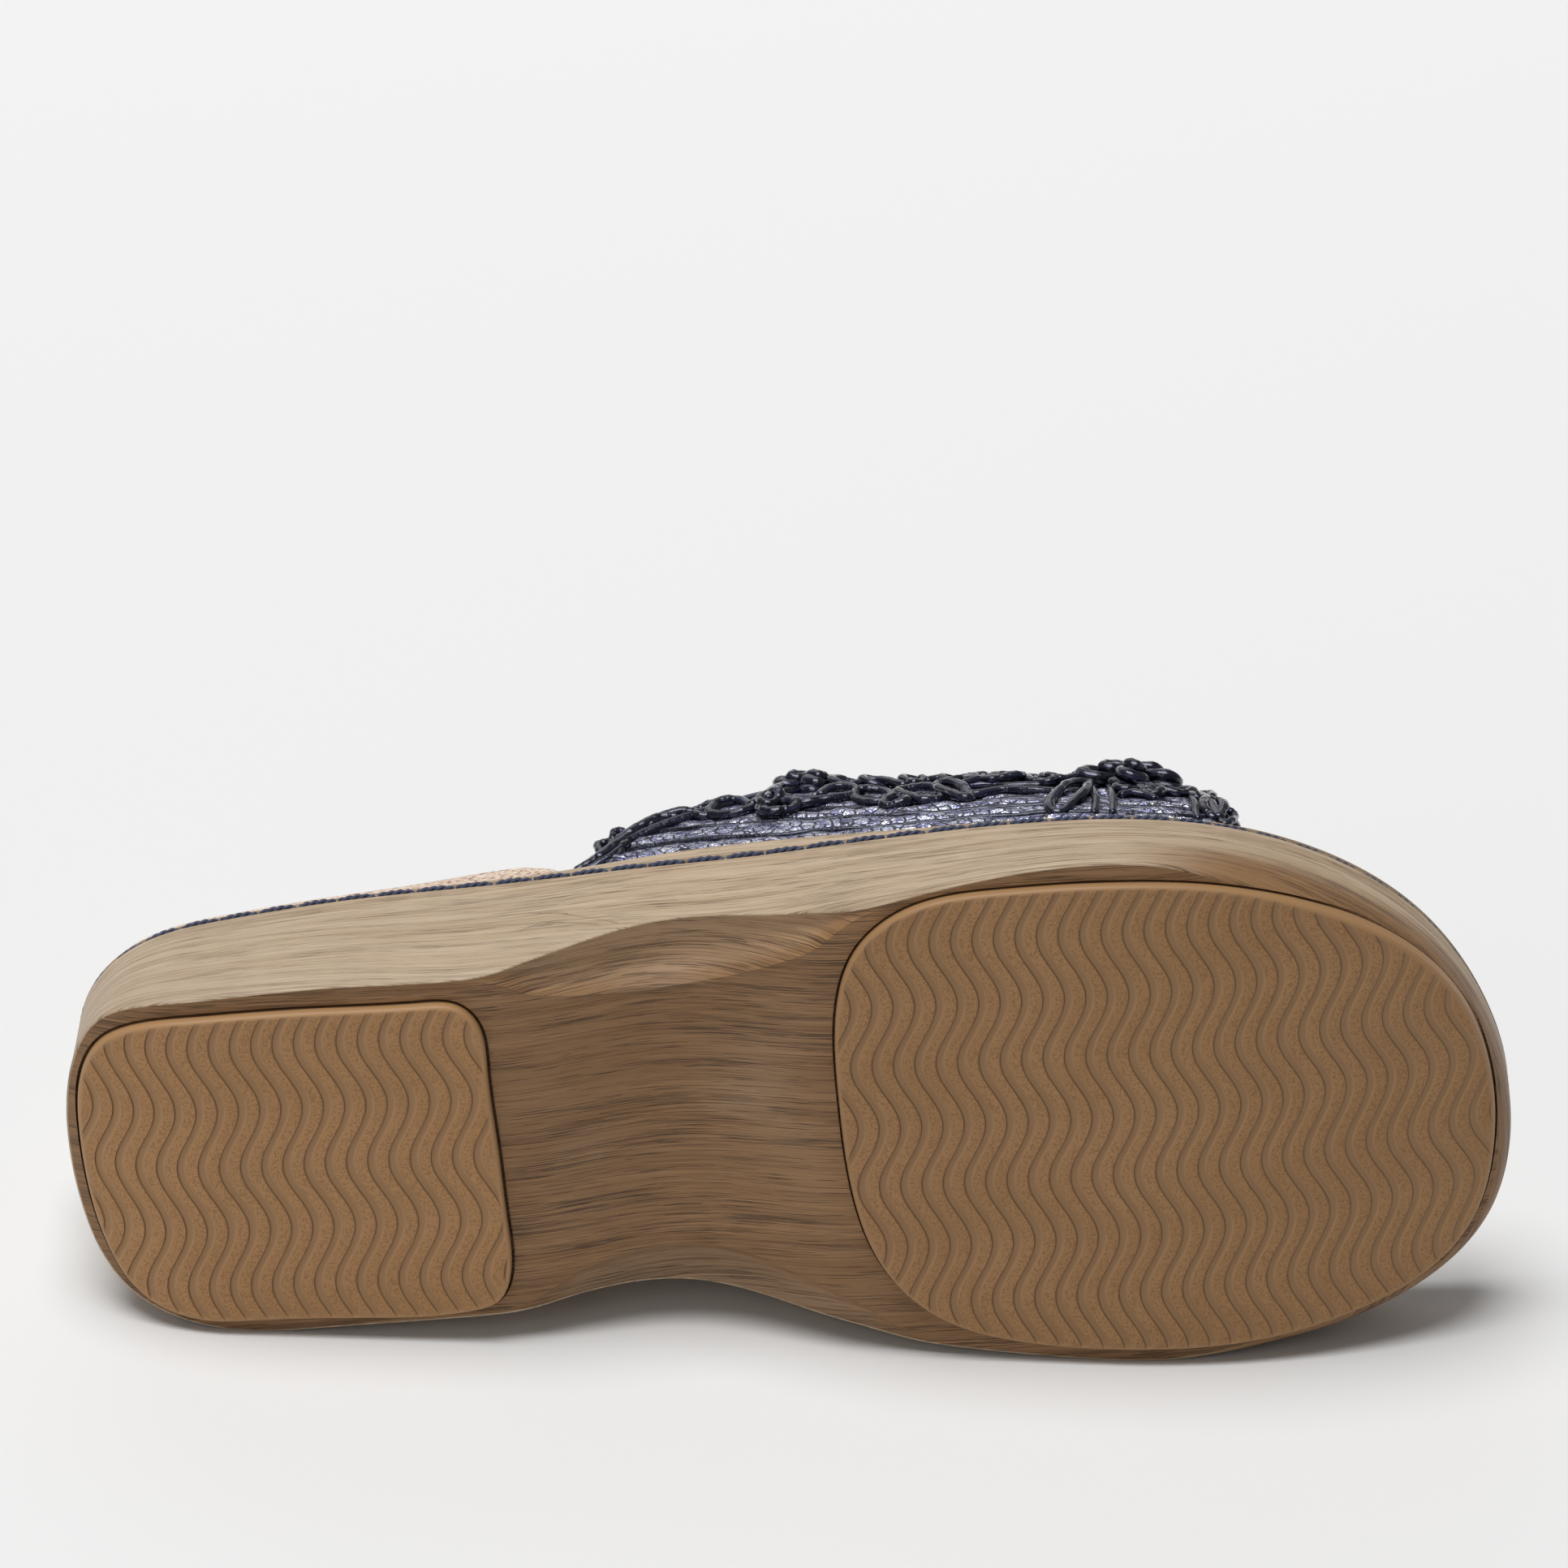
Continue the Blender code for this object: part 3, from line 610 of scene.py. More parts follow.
def make_platform():
    """Quads over all rings; strips below the wall's foot take the underside's grain and tone.

    The tone is painted shade. It is paler on the cove's ledge, a painted light where the ledge faces
    the light, and at the toe it fades out with the height on the wall.
    """
    rings = np.array(under_rings + side_rings)
    quads = grid_quads(*rings.shape[:2], close_columns=True)
    strip = np.arange(len(quads)) // rings.shape[1]
    is_under = (strip < len(under_rings) - 1)[:, None]
    on_wall = wall_grain(rings).reshape(-1, 3)[quads]
    below = flat_grain(rings).reshape(-1, 3)[quads]
    grain = np.where(is_under[:, None], below, on_wall)
    height = rings[..., 2] - bottom_z(edge[:, 0])[None]
    # Round the toe the underside's painted shade climbs the wall and fades with the height.
    toe = TOE_SHADE * smooth_step(edge[:, 0], *TOE_SHADE_FROM)[None]
    fading = toe * (1 - smooth_step(height, *TOE_SHADE_HEIGHT))
    # On the cove's ledge, which faces the light, the painted shade is weaker: painted light.
    ledge = 1 - COVE_LEDGE_LIGHT * carved[None] * smooth_step(height, *LEDGE_HEIGHT)
    under = np.where(is_under, ledge.ravel()[quads], fading.ravel()[quads])
    fields = {"grain": grain.reshape(-1, 3), "under": np.repeat(under.ravel()[:, None], 3, axis=1)}
    return new_object("platform", rings.reshape(-1, 3), quads.tolist(), fields, PLATFORM_CRISP)


platform = make_platform()
print("platform has", len(platform.data.polygons), "faces")

# %% [markdown]
# ## Tread pads
# Each pad is a sheet of rubber with moulded wave grooves, let into a recess. A grid whose columns
# follow the waves keeps the grooves clean, but it can't follow the pad's outline. So the grooved
# block is made larger than the pad, and an exact Boolean keeps what lies inside a blank with the
# pad's outline and rounded edge.

# %% Sizes of the pads
HEEL_PAD = (  # x, y
    (1.7, -3.0),
    (3.0, -13.7),
    (7.5, -21.1),
    (14.7, -24.8),
    (27.0, -26.3),
    (45.0, -26.7),
    (63.5, -26.7),
    (70.2, -25.8),
    (73.2, -22.4),
    (74.3, -14.0),
    (75.1, 2.0),
    (75.7, 16.0),
    (75.5, 26.0),
    (73.4, 30.4),
    (68.2, 32.3),
    (50.0, 32.6),
    (32.0, 32.0),
    (17.0, 30.7),
    (9.6, 26.4),
    (5.0, 18.8),
    (2.4, 8.0),
)
FOREFOOT_PAD = (  # x, y
    (134.8, -5.0),
    (135.4, -22.0),
    (139.2, -32.4),
    (147.6, -39.4),
    (165.0, -42.5),
    (185.0, -42.6),
    (204.8, -39.5),
    (220.4, -32.9),
    (234.2, -23.1),
    (243.7, -10.8),
    (248.9, 6.0),
    (248.7, 20.0),
    (245.0, 31.6),
    (237.4, 39.2),
    (224.2, 44.3),
    (206.0, 47.0),
    (185.0, 46.5),
    (165.0, 43.9),
    (149.7, 38.0),
    (141.0, 28.5),
    (136.4, 14.6),
)
PAD_FRONT_ROW = 10
HEEL_PAD_SPINE = (30.0, 58.0)
FOREFOOT_PAD_SPINE = (166.0, 214.0)
WAVE_PITCH = 3.7
WAVE_LENGTH = 23.0
WAVE_SWING = 2.14
HEEL_WAVE = (6.5, 2.49)
FOREFOOT_WAVE = (139.5, 6.09)
GROOVE_DEPTH = 0.36
GROOVE_STEEP = 0.07
GROOVE_FLOOR = 0.20
GROOVE_RISE = 0.20
GROOVE_FADE = (0.3, 1.1)
LAND_FADE = (0.5, 1.0)
PAD_ROUND = 0.9
PAD_BLEND = 0.05
HEEL_RECESS_GAP = 0.55
FOREFOOT_RECESS_GAP = 0.45
PAD_POINTS = 260
PAD_CRISP = 50.0
BLOCK_STEP = 0.62
BLOCK_MARGIN = 2.0
BLOCK_TOP = 40.0
SPARE_WAVES = 2
# Width of the steep side's painted shade, as a share of the steep side.
BRINK_SHADE_SHARE = 0.3
LAND_SHARE = 0.25
BLANK_DEPTH = -6.0
BLANK_FLARE = (  # distance in from the rounded edge, height over the tread
    (1.6, -2.0),
    (0.5, -0.5),
)
BLANK_ROUND_RINGS = 9

# %% Grooved block, blank and recess


def ring_solid(name, rings, fields):
    """A closed object over rings whose first and last ring are double middle lines."""
    rings = np.array(rings)
    quads = grid_quads(*rings.shape[:2], close_columns=True)
    flat = {field: values.reshape(-1, 3)[quads].reshape(-1, 3) for field, values in fields(rings).items()}
    return new_object(name, rings.reshape(-1, 3), quads.tolist(), flat)


def distance_to(loop, points):
    """Shortest distance in plan from each point to the loop's points."""
    nearest = np.full(len(points), np.inf)
    for part in np.array_split(loop, 12):
        apart = np.linalg.norm(points[:, None] - part[None], axis=2).min(axis=1)
        nearest = np.minimum(nearest, apart)
    return nearest


def grooved_block(name, outline, wave):
    """Block whose columns follow the waves x = start + pitch * i + swing * cos(2 pi y / length + phase).

    A groove falls steeply on its heel side, has a level floor, rises on its toe side, and fades out
    before the pad's outline.
    """
    steep = np.linspace(-GROOVE_STEEP, 0, 4)
    floor = np.linspace(0, GROOVE_FLOOR, 4)[1:]
    rise = GROOVE_FLOOR + np.linspace(0, GROOVE_RISE, 5)[1:]
    land = np.linspace(GROOVE_FLOOR + GROOVE_RISE, 1 - GROOVE_STEEP, 5)[1:-1]
    shares = np.concatenate((steep, floor, rise, land))
    first = math.floor((outline[:, 0].min() - wave[0]) / WAVE_PITCH) - SPARE_WAVES
    last = math.ceil((outline[:, 0].max() - wave[0]) / WAVE_PITCH) + SPARE_WAVES
    phase = (np.arange(first, last)[:, None] + shares[None]).ravel()
    depths = (1 + steep / GROOVE_STEEP, np.ones(3), 1 - (rise - GROOVE_FLOOR) / GROOVE_RISE, 0 * land)
    fall = np.tile(np.concatenate(depths), last - first)
    # The steep side of each groove is marked for a thin line of painted shade.
    steep_side = np.abs(shares + GROOVE_STEEP / 2) < BRINK_SHADE_SHARE * GROOVE_STEEP
    brink_shade = np.tile(steep_side.astype(float), last - first)
    y = np.arange(outline[:, 1].min() - BLOCK_MARGIN, outline[:, 1].max() + BLOCK_MARGIN, BLOCK_STEP)
    swing = WAVE_SWING * np.cos(math.tau * y / WAVE_LENGTH + wave[1])
    x = wave[0] + WAVE_PITCH * phase[None] + swing[:, None]
    grid = np.stack(np.broadcast_arrays(x, y[:, None], 0.0), axis=-1)
    border = distance_to(outline, grid[..., :2].reshape(-1, 2)).reshape(x.shape)
    fade = smooth_step(border, *GROOVE_FADE)
    hollow = smooth_step(fall, 0, 1)[None] * fade
    grid[..., 2] = tread_z(x) + GROOVE_DEPTH * hollow
    level = (1 - smooth_step(fall, 0, LAND_SHARE)[None]) * smooth_step(border, *LAND_FADE)
    # Stored per corner: where the sand lies, how deep the groove is, and the steep side's painted shade.
    sand_and_shade = np.stack((level, hollow, brink_shade[None] * fade), axis=-1)
    rows, columns = x.shape
    number = np.arange(rows * columns).reshape(rows, columns)
    around = np.concatenate((number[0], number[1:, -1], number[-1, -2::-1], number[-2:0:-1, 0]))
    back = grid.reshape(-1, 3)[around]
    back[:, 2] = BLOCK_TOP
    lid = rows * columns + np.arange(len(around))
    sides = np.stack((around, lid, np.roll(lid, -1), np.roll(around, -1)), axis=1)
    quads = np.concatenate((grid_quads(rows, columns), sides))
    corners = np.concatenate((quads.ravel(), lid))
    values = np.concatenate((sand_and_shade.reshape(-1, 3), np.zeros((len(around), 3))))[corners]
    points = np.concatenate((grid.reshape(-1, 3), back))
    return new_object(name, points, quads.tolist() + [lid.tolist()], {"sand_and_shade": values})


def tread_ring(plan, height):
    """Plan points at a height over the tread."""
    return ring(plan, tread_z(plan[:, 0]) + height)


def pad_blank(name, outline, ends):
    """Blank with the pad's outline: its edge rounds over and stays just outside the lands beyond."""
    middle = spine(outline, ends)
    rings = [tread_ring(middle, BLANK_DEPTH)]
    rings += [tread_ring(inset(outline, PAD_ROUND + flare), height) for flare, height in BLANK_FLARE]
    for turn in np.linspace(0, math.pi / 2, BLANK_ROUND_RINGS):
        plan = inset(outline, PAD_ROUND * (1 - math.sin(turn)))
        rings.append(tread_ring(plan, PAD_ROUND * (1 - math.cos(turn)) - PAD_BLEND))
    rings += [tread_ring(plan, PAD_THICK) for plan in (outline, middle)]
    return ring_solid(name, rings, lambda made: {"sand_and_shade": np.zeros(made.shape)})


def recess_cutter(name, outline, ends, gap):
    """Cutter for the recess: the outline grown by the gap, from under the tread to over the pad."""
    middle = spine(outline, ends)
    wide = inset(outline, -gap)
    rings = [tread_ring(plan, -PAD_THICK) for plan in (middle, wide)]
    rings += [tread_ring(plan, PAD_THICK + GAP) for plan in (wide, middle)]
    # The recess walls take the underside's grain and its painted shade.
    return ring_solid(name, rings, lambda made: {"grain": flat_grain(made), "under": np.ones(made.shape)})


def make_pad(name, table, ends, wave, gap):
    """A pad cut from its grooved block, and its recess cut into the platform."""
    outline = closed_spline(table, PAD_FRONT_ROW, PAD_POINTS)[:, :2]
    carve(platform, recess_cutter(name + "_recess", outline, ends, gap), "DIFFERENCE", PLATFORM_CRISP)
    pad = grooved_block(name, outline, wave)
    carve(pad, pad_blank(name + "_blank", outline, ends), "INTERSECT", PAD_CRISP)
    return pad


heel_tread = make_pad("heel_tread", HEEL_PAD, HEEL_PAD_SPINE, HEEL_WAVE, HEEL_RECESS_GAP)
forefoot_tread = make_pad("forefoot_tread", FOREFOOT_PAD, FOREFOOT_PAD_SPINE, FOREFOOT_WAVE,
                          FOREFOOT_RECESS_GAP)
print("pads have", len(heel_tread.data.polygons), "and", len(forefoot_tread.data.polygons), "faces")

# %% [markdown]
# ## Wood grain
# The moulded grain has three sizes: broad warm and pale stripes, long fine lines, and short dark
# dashes that stand closer under the shoe than on its wall. Noise that is stretched along the grain
# gives each of these, and a slow noise bends them first, as growth rings wander. Pale glints beside
# the fine lines are a painted highlight. Under the shoe every colour is a darker, redder copy of the
# wall's, and that darkness is painted shade. A few scratches cross the outer wall behind the strap,
# each the straight line between two places on the wall.

# %% Finish of the platform
# The first colour of each set is for the pale glints beside the fine lines: a painted highlight.
WOOD_GLINT_HIGHLIGHT = (0.620, 0.495, 0.358)
WOOD_PALE = (0.500, 0.383, 0.263)
WOOD_WARM = (0.446, 0.330, 0.218)
WOOD_LINE = (0.270, 0.175, 0.098)
WOOD_DASH = (0.140, 0.078, 0.042)
# Under the shoe the colours are darker, redder copies of the wall's: painted shade.
SHADED_UNDER_HIGHLIGHT = (0.345, 0.195, 0.088)
SHADED_UNDER_PALE = (0.290, 0.156, 0.066)
SHADED_UNDER_WARM = (0.238, 0.126, 0.052)
SHADED_UNDER_LINE = (0.125, 0.063, 0.030)
SHADED_UNDER_DASH = (0.055, 0.028, 0.015)
SCRATCH_WIDTH = 0.17
SCRATCHES = (  # x and share of the wall's height at one end, then at the other
    (82.0, 0.55, 89.0, 0.42),
    (88.5, 0.42, 98.0, 0.08),
    (84.5, 0.40, 94.6, 0.14),
    (83.5, 0.60, 87.0, 0.575),
    (80.8, 0.36, 84.0, 0.39),
)


def outer_wall_place(x, share):
    """Place on the outer wall, in the lying shoe's metres, at x and a share of the height."""
    foot, top = (np.array([np.interp(x, line[:SIDE_POINTS, 0], line[:SIDE_POINTS, k]) for k in range(3)])
                 for line in (ring(edge, foot_z), ring(rim, top_z - LIP_ROUND)))
    return to_row(foot + share * (top - foot))


def wood_finish():
    """Stretched noise for stripes, lines and dashes; lines, dashes and scratches are shallow dents.

    Pale glints are painted highlight, and the underside's darker colours are painted shade.
    """
    wood = Finish("moulded_wood", 0.5, Specular_IOR_Level=0.4)
    grain = wood.field("grain")
    bend = wood.between(wood.noise(wood.scaled(grain, (60, 60, 12)), 1.0), 0.2, 0.8, -0.3, 0.3)
    shift = wood.node("ShaderNodeCombineXYZ", {2: bend}).outputs[0]
    bent = wood.join("ADD", grain, shift)
    stripes = wood.noise(wood.scaled(bent, (95, 95, 2.6)), 3.0)
    bands = wood.noise(wood.scaled(bent, (30, 30, 2.0)), 2.0)
    lines = wood.noise(wood.scaled(bent, (24, 24, 0.19)), 3.0, 0.6)
    dashes = wood.noise(wood.scaled(bent, (9.0, 9.0, 0.12)), 1.5)
    # How far a corner belongs to the underside: there it takes the painted shade and closer dashes.
    under = wood.part(wood.field("under"), 0)
    crowd = wood.between(bands, 0.35, 0.65, -0.05, 0.05)
    line = wood.between(wood.math("ADD", lines, crowd), 0.5, 0.36)
    # Pale glints on the far side of the fine lines: a painted highlight.
    glint = wood.math("MULTIPLY", wood.between(lines, 0.53, 0.68), 0.55)
    limit = wood.between(under, 0.0, 1.0, 0.36, 0.39)
    spare = wood.math("SUBTRACT", wood.math("ADD", dashes, crowd), limit)
    dash = wood.between(spare, 0.0, -0.06)
    for x, share, far_x, far_share in SCRATCHES:
        ends = outer_wall_place(x, share), outer_wall_place(far_x, far_share)
        dash = wood.math("MAXIMUM", dash, wood.scratch(wood.place(), *ends, SCRATCH_WIDTH * MM))
    stripe = wood.between(stripes, 0.36, 0.64)
    faint = wood.math("MULTIPLY", line, 0.6)
    strong = wood.math("MULTIPLY", dash, wood.between(under, 0.0, 1.0, 0.6, 0.8))
    side = wood.mix(glint, wood.mix(stripe, WOOD_PALE, WOOD_WARM), WOOD_GLINT_HIGHLIGHT)
    side = wood.mix(strong, wood.mix(faint, side, WOOD_LINE), WOOD_DASH)
    # The same pattern in the underside's darker colours, which are painted shade.
    below = wood.mix(glint, wood.mix(stripe, SHADED_UNDER_PALE, SHADED_UNDER_WARM), SHADED_UNDER_HIGHLIGHT)
    below = wood.mix(strong, wood.mix(faint, below, SHADED_UNDER_LINE), SHADED_UNDER_DASH)
    rough = wood.between(stripes, 0.3, 0.7, 0.44, 0.58)
    height = wood.math("SUBTRACT", wood.math("MULTIPLY", line, -0.4), dash)
    # The under field mixes the wall's colours with the underside's painted shade.
    colour = wood.mix(under, side, below)
    return wood.done(Base_Color=colour, Roughness=rough, Normal=wood.relief(height, 0.07))


dress(platform, "midsole", wood_finish(), "midsole")

# %% [markdown]
# ## Sandy rubber
# The lands of the tread have a fine sand texture from the mould, and the grooves and the edge are
# smooth. The field that was stored with the block says where the sand is, how deep the groove is, and
# where its steep side runs, which gets a dark line of painted shade. The forefoot pad is a little
# darker than the heel pad.

# %% Finish of the pads
RUBBER = (0.388, 0.208, 0.086)
RUBBER_DUSTY = (0.420, 0.230, 0.099)
RUBBER_SMOOTH = (0.392, 0.223, 0.101)
RUBBER_GRIT = (0.225, 0.114, 0.046)
RUBBER_FLOOR = (0.335, 0.188, 0.086)
# Colour of the painted shade along each groove's steep side.
RUBBER_BRINK_SHADE = (0.110, 0.060, 0.030)
FOREFOOT_TONE = 0.90


def rubber_finish(name, tone):
    """Sand from a fine noise on the lands, slow patches of dust, smooth borders and darker grooves, with
    painted shade along each groove's steep side.
    """
    tones = (RUBBER, RUBBER_DUSTY, RUBBER_SMOOTH, RUBBER_GRIT, RUBBER_FLOOR, RUBBER_BRINK_SHADE)
    plain, dusty, smooth, gritty, floor, brink_shade = (tuple(tone * part for part in colour) for colour in tones)
    rubber = Finish(name, 0.62, Specular_IOR_Level=0.35)
    place = rubber.place()
    sand_and_shade = rubber.field("sand_and_shade")
    land = rubber.part(sand_and_shade, 0)
    sand = rubber.noise(rubber.scaled(place, (0.00042,) * 3), 2.0, 0.6)
    patch = rubber.noise(rubber.scaled(place, (0.018,) * 3), 3.0)
    base = rubber.mix(rubber.between(patch, 0.35, 0.65), plain, dusty)
    grit = rubber.math("MULTIPLY", rubber.between(sand, 0.56, 0.36), 0.6)
    toned = rubber.mix(land, smooth, rubber.mix(grit, base, gritty))
    sunk = rubber.mix(rubber.between(rubber.part(sand_and_shade, 1), 0.3, 0.9), toned, floor)
    # Painted shade along each groove's steep side.
    colour = rubber.mix(rubber.math("MULTIPLY", rubber.part(sand_and_shade, 2), 0.55), sunk, brink_shade)
    height = rubber.math("MULTIPLY", sand, rubber.between(land, 0, 1, 0.08, 1.0))
    rough = rubber.between(land, 0.0, 1.0, 0.5, 0.68)
    return rubber.done(Base_Color=colour, Roughness=rough, Normal=rubber.relief(height, 0.12))


dress(heel_tread, "pad", rubber_finish("heel_rubber", 1.0), "heel_pad")
dress(forefoot_tread, "pad", rubber_finish("forefoot_rubber", FOREFOOT_TONE), "forefoot_pad")

# %% [markdown]
# ## The footbed
# A firm moulded pad wrapped in suede sits in the platform's seat, rolls out over the rim at the heel
# and rises most at the waist. It is dished for the foot, with a cup under the heel, and it is notched
# where the strap goes down.
# Firm foam under suede doesn't sag, so its surface is computed and not simulated.

# %% Sizes and rings of the footbed
FOOTBED_TOE_CROWN = 1.2
FOOTBED_HEEL_CROWN = 2.9
FOOTBED_CROWN_FALL = (95.0, 150.0)
FOOTBED_WAIST_CROWN = 3.2
FOOTBED_WAIST = 78.0
FOOTBED_WAIST_SPREAD = 16.0
FOOTBED_DIP = 0.65
FOOTBED_DIP_FROM = (79.0, 91.0)
FOOTBED_DIP_TO = (100.0, 140.0)
FOOTBED_ROLL = 0.95
FOOTBED_DISH = 2.5
HEEL_CUP = 3.0
HEEL_CUP_AT = 35.0
FOOTBED_ROUND = 1.3
STRAP_NOTCH = 3.3
NOTCH_BACK = (85.5, 91.5)
NOTCH_FRONT = (211.5, 217.5)
NAP_WAVE = 0.12
NAP_SIZE = 9
NAP_SEED = 5
DISH_OF_CROWN = 0.6
SIDE_ABOVE_RIM = 0.2
ROLL_ABOVE_RIM = 0.35
EDGE_RINGS = 7
DISH_RINGS = 26


def footbed_edge_z(x):
    """Top of the wrapped edge: highest at the waist, pressed down where the strap begins."""
    waist = np.exp(-((x - FOOTBED_WAIST) / FOOTBED_WAIST_SPREAD) ** 2)
    fall = smooth_step(x, *FOOTBED_CROWN_FALL)
    crown = FOOTBED_HEEL_CROWN + (FOOTBED_TOE_CROWN - FOOTBED_HEEL_CROWN) * fall
    crown = crown + FOOTBED_WAIST_CROWN * waist
    dip = FOOTBED_DIP * smooth_step(x, *FOOTBED_DIP_FROM) * (1 - smooth_step(x, *FOOTBED_DIP_TO))
    return rim_z(x) + crown * (1 - dip)


def footbed_dish(x):
    """How far the middle lies under the edge."""
    cup = HEEL_CUP * np.exp(-((x - HEEL_CUP_AT) / HEEL_CUP_AT) ** 2)
    crown = np.clip(footbed_edge_z(x) - rim_z(x) - FOOTBED_TOE_CROWN, 0, None)
    return FOOTBED_DISH + cup + DISH_OF_CROWN * crown


def make_footbed():
    """Rings from the seat, up the side, out over the lip, round the edge and down into the dish."""
    notch = smooth_step(rim[:, 0], *NOTCH_BACK) - smooth_step(rim[:, 0], *NOTCH_FRONT)
    roll = FOOTBED_ROLL * (1 - smooth_step(rim[:, 0], *FOOTBED_CROWN_FALL)) * (1 - notch)
    body = inset(rim, LIP_WIDTH + GAP + STRAP_NOTCH * notch)
    outline = inset(rim, LIP_WIDTH + GAP + STRAP_NOTCH * notch - roll)
    middle = spine(outline, SOLE_SPINE)
    rings = []
    for share in (0.0, 1.0):
        plan = towards(middle, body, share)
        rings.append(ring(plan, rim_z(plan[:, 0]) - SEAT_DEPTH + GAP))
    shoulder = footbed_edge_z(outline[:, 0]) - FOOTBED_ROUND
    rings.append(ring(body, np.minimum(rim_z(body[:, 0]) + SIDE_ABOVE_RIM, shoulder)))
    rings.append(ring(outline, np.minimum(rim_z(outline[:, 0]) + ROLL_ABOVE_RIM, shoulder)))
    for turn in np.linspace(0, math.pi / 2, EDGE_RINGS):
        plan = inset(outline, FOOTBED_ROUND * (1 - math.cos(turn)))
        rings.append(ring(plan, footbed_edge_z(plan[:, 0]) - FOOTBED_ROUND * (1 - math.sin(turn))))
    crown = inset(outline, FOOTBED_ROUND)
    for share in np.linspace(1, 0, DISH_RINGS)[1:]:
        plan = towards(middle, crown, share)
        sunk = footbed_dish(plan[:, 0]) * (1 - share ** 2)
        nap = NAP_WAVE * wander(plan[:, 0] / NAP_SIZE, plan[:, 1] / NAP_SIZE, NAP_SEED) * (share > 0)
        rings.append(ring(plan, footbed_edge_z(plan[:, 0]) - sunk + nap))
    return ring_solid("suede_footbed", rings, lambda made: {})


footbed = make_footbed()
print("footbed has", len(footbed.data.polygons), "faces")

# %% [markdown]
# ## Suede
# Suede has no shine. Its nap shows as short fibres in lighter and darker tones, with reddish specks,
# and brushed patches where the fibres lie another way. Sheen on the shader gives the soft edge glow.

# %% Finish of the footbed
SUEDE_PALE = (0.90, 0.78, 0.64)
SUEDE_ROSE = (0.68, 0.51, 0.40)
SUEDE_FLECK = (0.24, 0.09, 0.06)


def suede_finish():
    """Short stretched fibres, round flecks and slow brushed patches over a peach ground."""
    suede = Finish("peach_suede", 0.95, Specular_IOR_Level=0.1, Sheen_Weight=0.35, Sheen_Roughness=0.5)
    place = suede.place()
    brushed = suede.noise(suede.scaled(place, (0.014, 0.014, 0.014)), 2.0)
    fibres = suede.noise(suede.scaled(place, (0.0013, 0.0004, 0.0005)), 3.0, 0.65)
    flecks = suede.noise(suede.scaled(place, (0.0009, 0.0005, 0.0005)), 2.0, 0.6)
    ground = suede.mix(suede.between(fibres, 0.35, 0.65), SUEDE_PALE, SUEDE_ROSE)
    toned = suede.mix(suede.between(brushed, 0.4, 0.7, 0.0, 0.35), ground, SUEDE_ROSE)
    colour = suede.mix(suede.between(flecks, 0.52, 0.64, 0.0, 0.8), toned, SUEDE_FLECK)
    return suede.done(Base_Color=colour, Normal=suede.relief(fibres, 0.25))


dress(footbed, "footbed", suede_finish(), "footbed")

# %% [markdown]
# ## The strap's own surface
# The strap arches from rim to rim. A place on it is an x along the shoe and a turn round the arch, 0
# degrees at the outer rim and 180 at the inner rim, and it may stand proud of the wall. Every cord
# and flower below is drawn in these two numbers, so it lies on the strap wherever it goes.

# %% Strap surface
STRAP_WALL = 2.4
STRAP_TUCK = 4.5
CORD_RADIUS = 1.5
THROAT_OUTER = 92.0
THROAT_INNER = 96.0
THROAT_SWEEP = 39.4
THROAT_TURN = 21.5
THROAT_POWER = 1.9
TOE_OUTER = 204.5
TOE_INNER = 206.0
TOE_SWEEP = 17.0
INSTEP_AT = 133.0
INSTEP_HEIGHT = 64.0
TOE_AT = 187.0
TOE_HEIGHT = 50.0
CREST_LEAN = 3.0
FULLNESS = 0.04
STRAP_MIDDLE = 155.0
ARCH_POINTS = 200
STRAP_LINE = inset(rim, LIP_WIDTH + GAP)
OUTER_LINE = STRAP_LINE[:SIDE_POINTS]
INNER_LINE = STRAP_LINE[:SIDE_POINTS:-1]


def strap_face(x, turn):
    """Half an ellipse from rim to rim, fuller at the shoulders by a third harmonic, leaning inwards."""
    angle = np.radians(turn)
    outer = np.interp(x, OUTER_LINE[:, 0], OUTER_LINE[:, 1])
    inner = np.interp(x, INNER_LINE[:, 0], INNER_LINE[:, 1])
    height = INSTEP_HEIGHT + (TOE_HEIGHT - INSTEP_HEIGHT) * (x - INSTEP_AT) / (TOE_AT - INSTEP_AT)
    half = (inner - outer) / 2
    across = (np.cos(angle) - FULLNESS * np.cos(3 * angle)) / (1 - FULLNESS)
    y = (inner + outer) / 2 - half * across + CREST_LEAN * np.sin(angle) ** 2
    z = rim_z(x) + height * np.sin(angle)
    return np.stack(np.broadcast_arrays(x, y, z), axis=-1)


def strap_tangents(x, turn):
    """Change of the face for a millimetre along the shoe, and for a degree round the arch."""
    forward = strap_face(x + 0.5, turn) - strap_face(x - 0.5, turn)
    around = strap_face(x, turn + 0.5) - strap_face(x, turn - 0.5)
    return forward, around


def strap_normal(x, turn):
    """Outward unit normal: forward crossed with around."""
    normal = np.cross(*strap_tangents(x, turn))
    return normal / np.linalg.norm(normal, axis=-1, keepdims=True)


def strap_place(x, turn, proud):
    """The face moved outwards along its normal."""
    return strap_face(x, turn) + strap_normal(x, turn) * np.expand_dims(proud, -1)


def strap_edges(turn):
    """Where the back and front edge lie along the shoe, for a turn round the arch."""
    angle = np.radians(turn)
    inner = (1 - np.cos(angle)) / 2
    risen = np.clip(90 - np.abs(turn - 90), 0, None)
    sweep = THROAT_SWEEP * (1 - np.exp(-(risen / THROAT_TURN) ** THROAT_POWER))
    back = THROAT_OUTER + (THROAT_INNER - THROAT_OUTER) * inner + sweep
    front = TOE_OUTER + (TOE_INNER - TOE_OUTER) * inner - TOE_SWEEP * np.sin(angle) ** 2
    return back, front


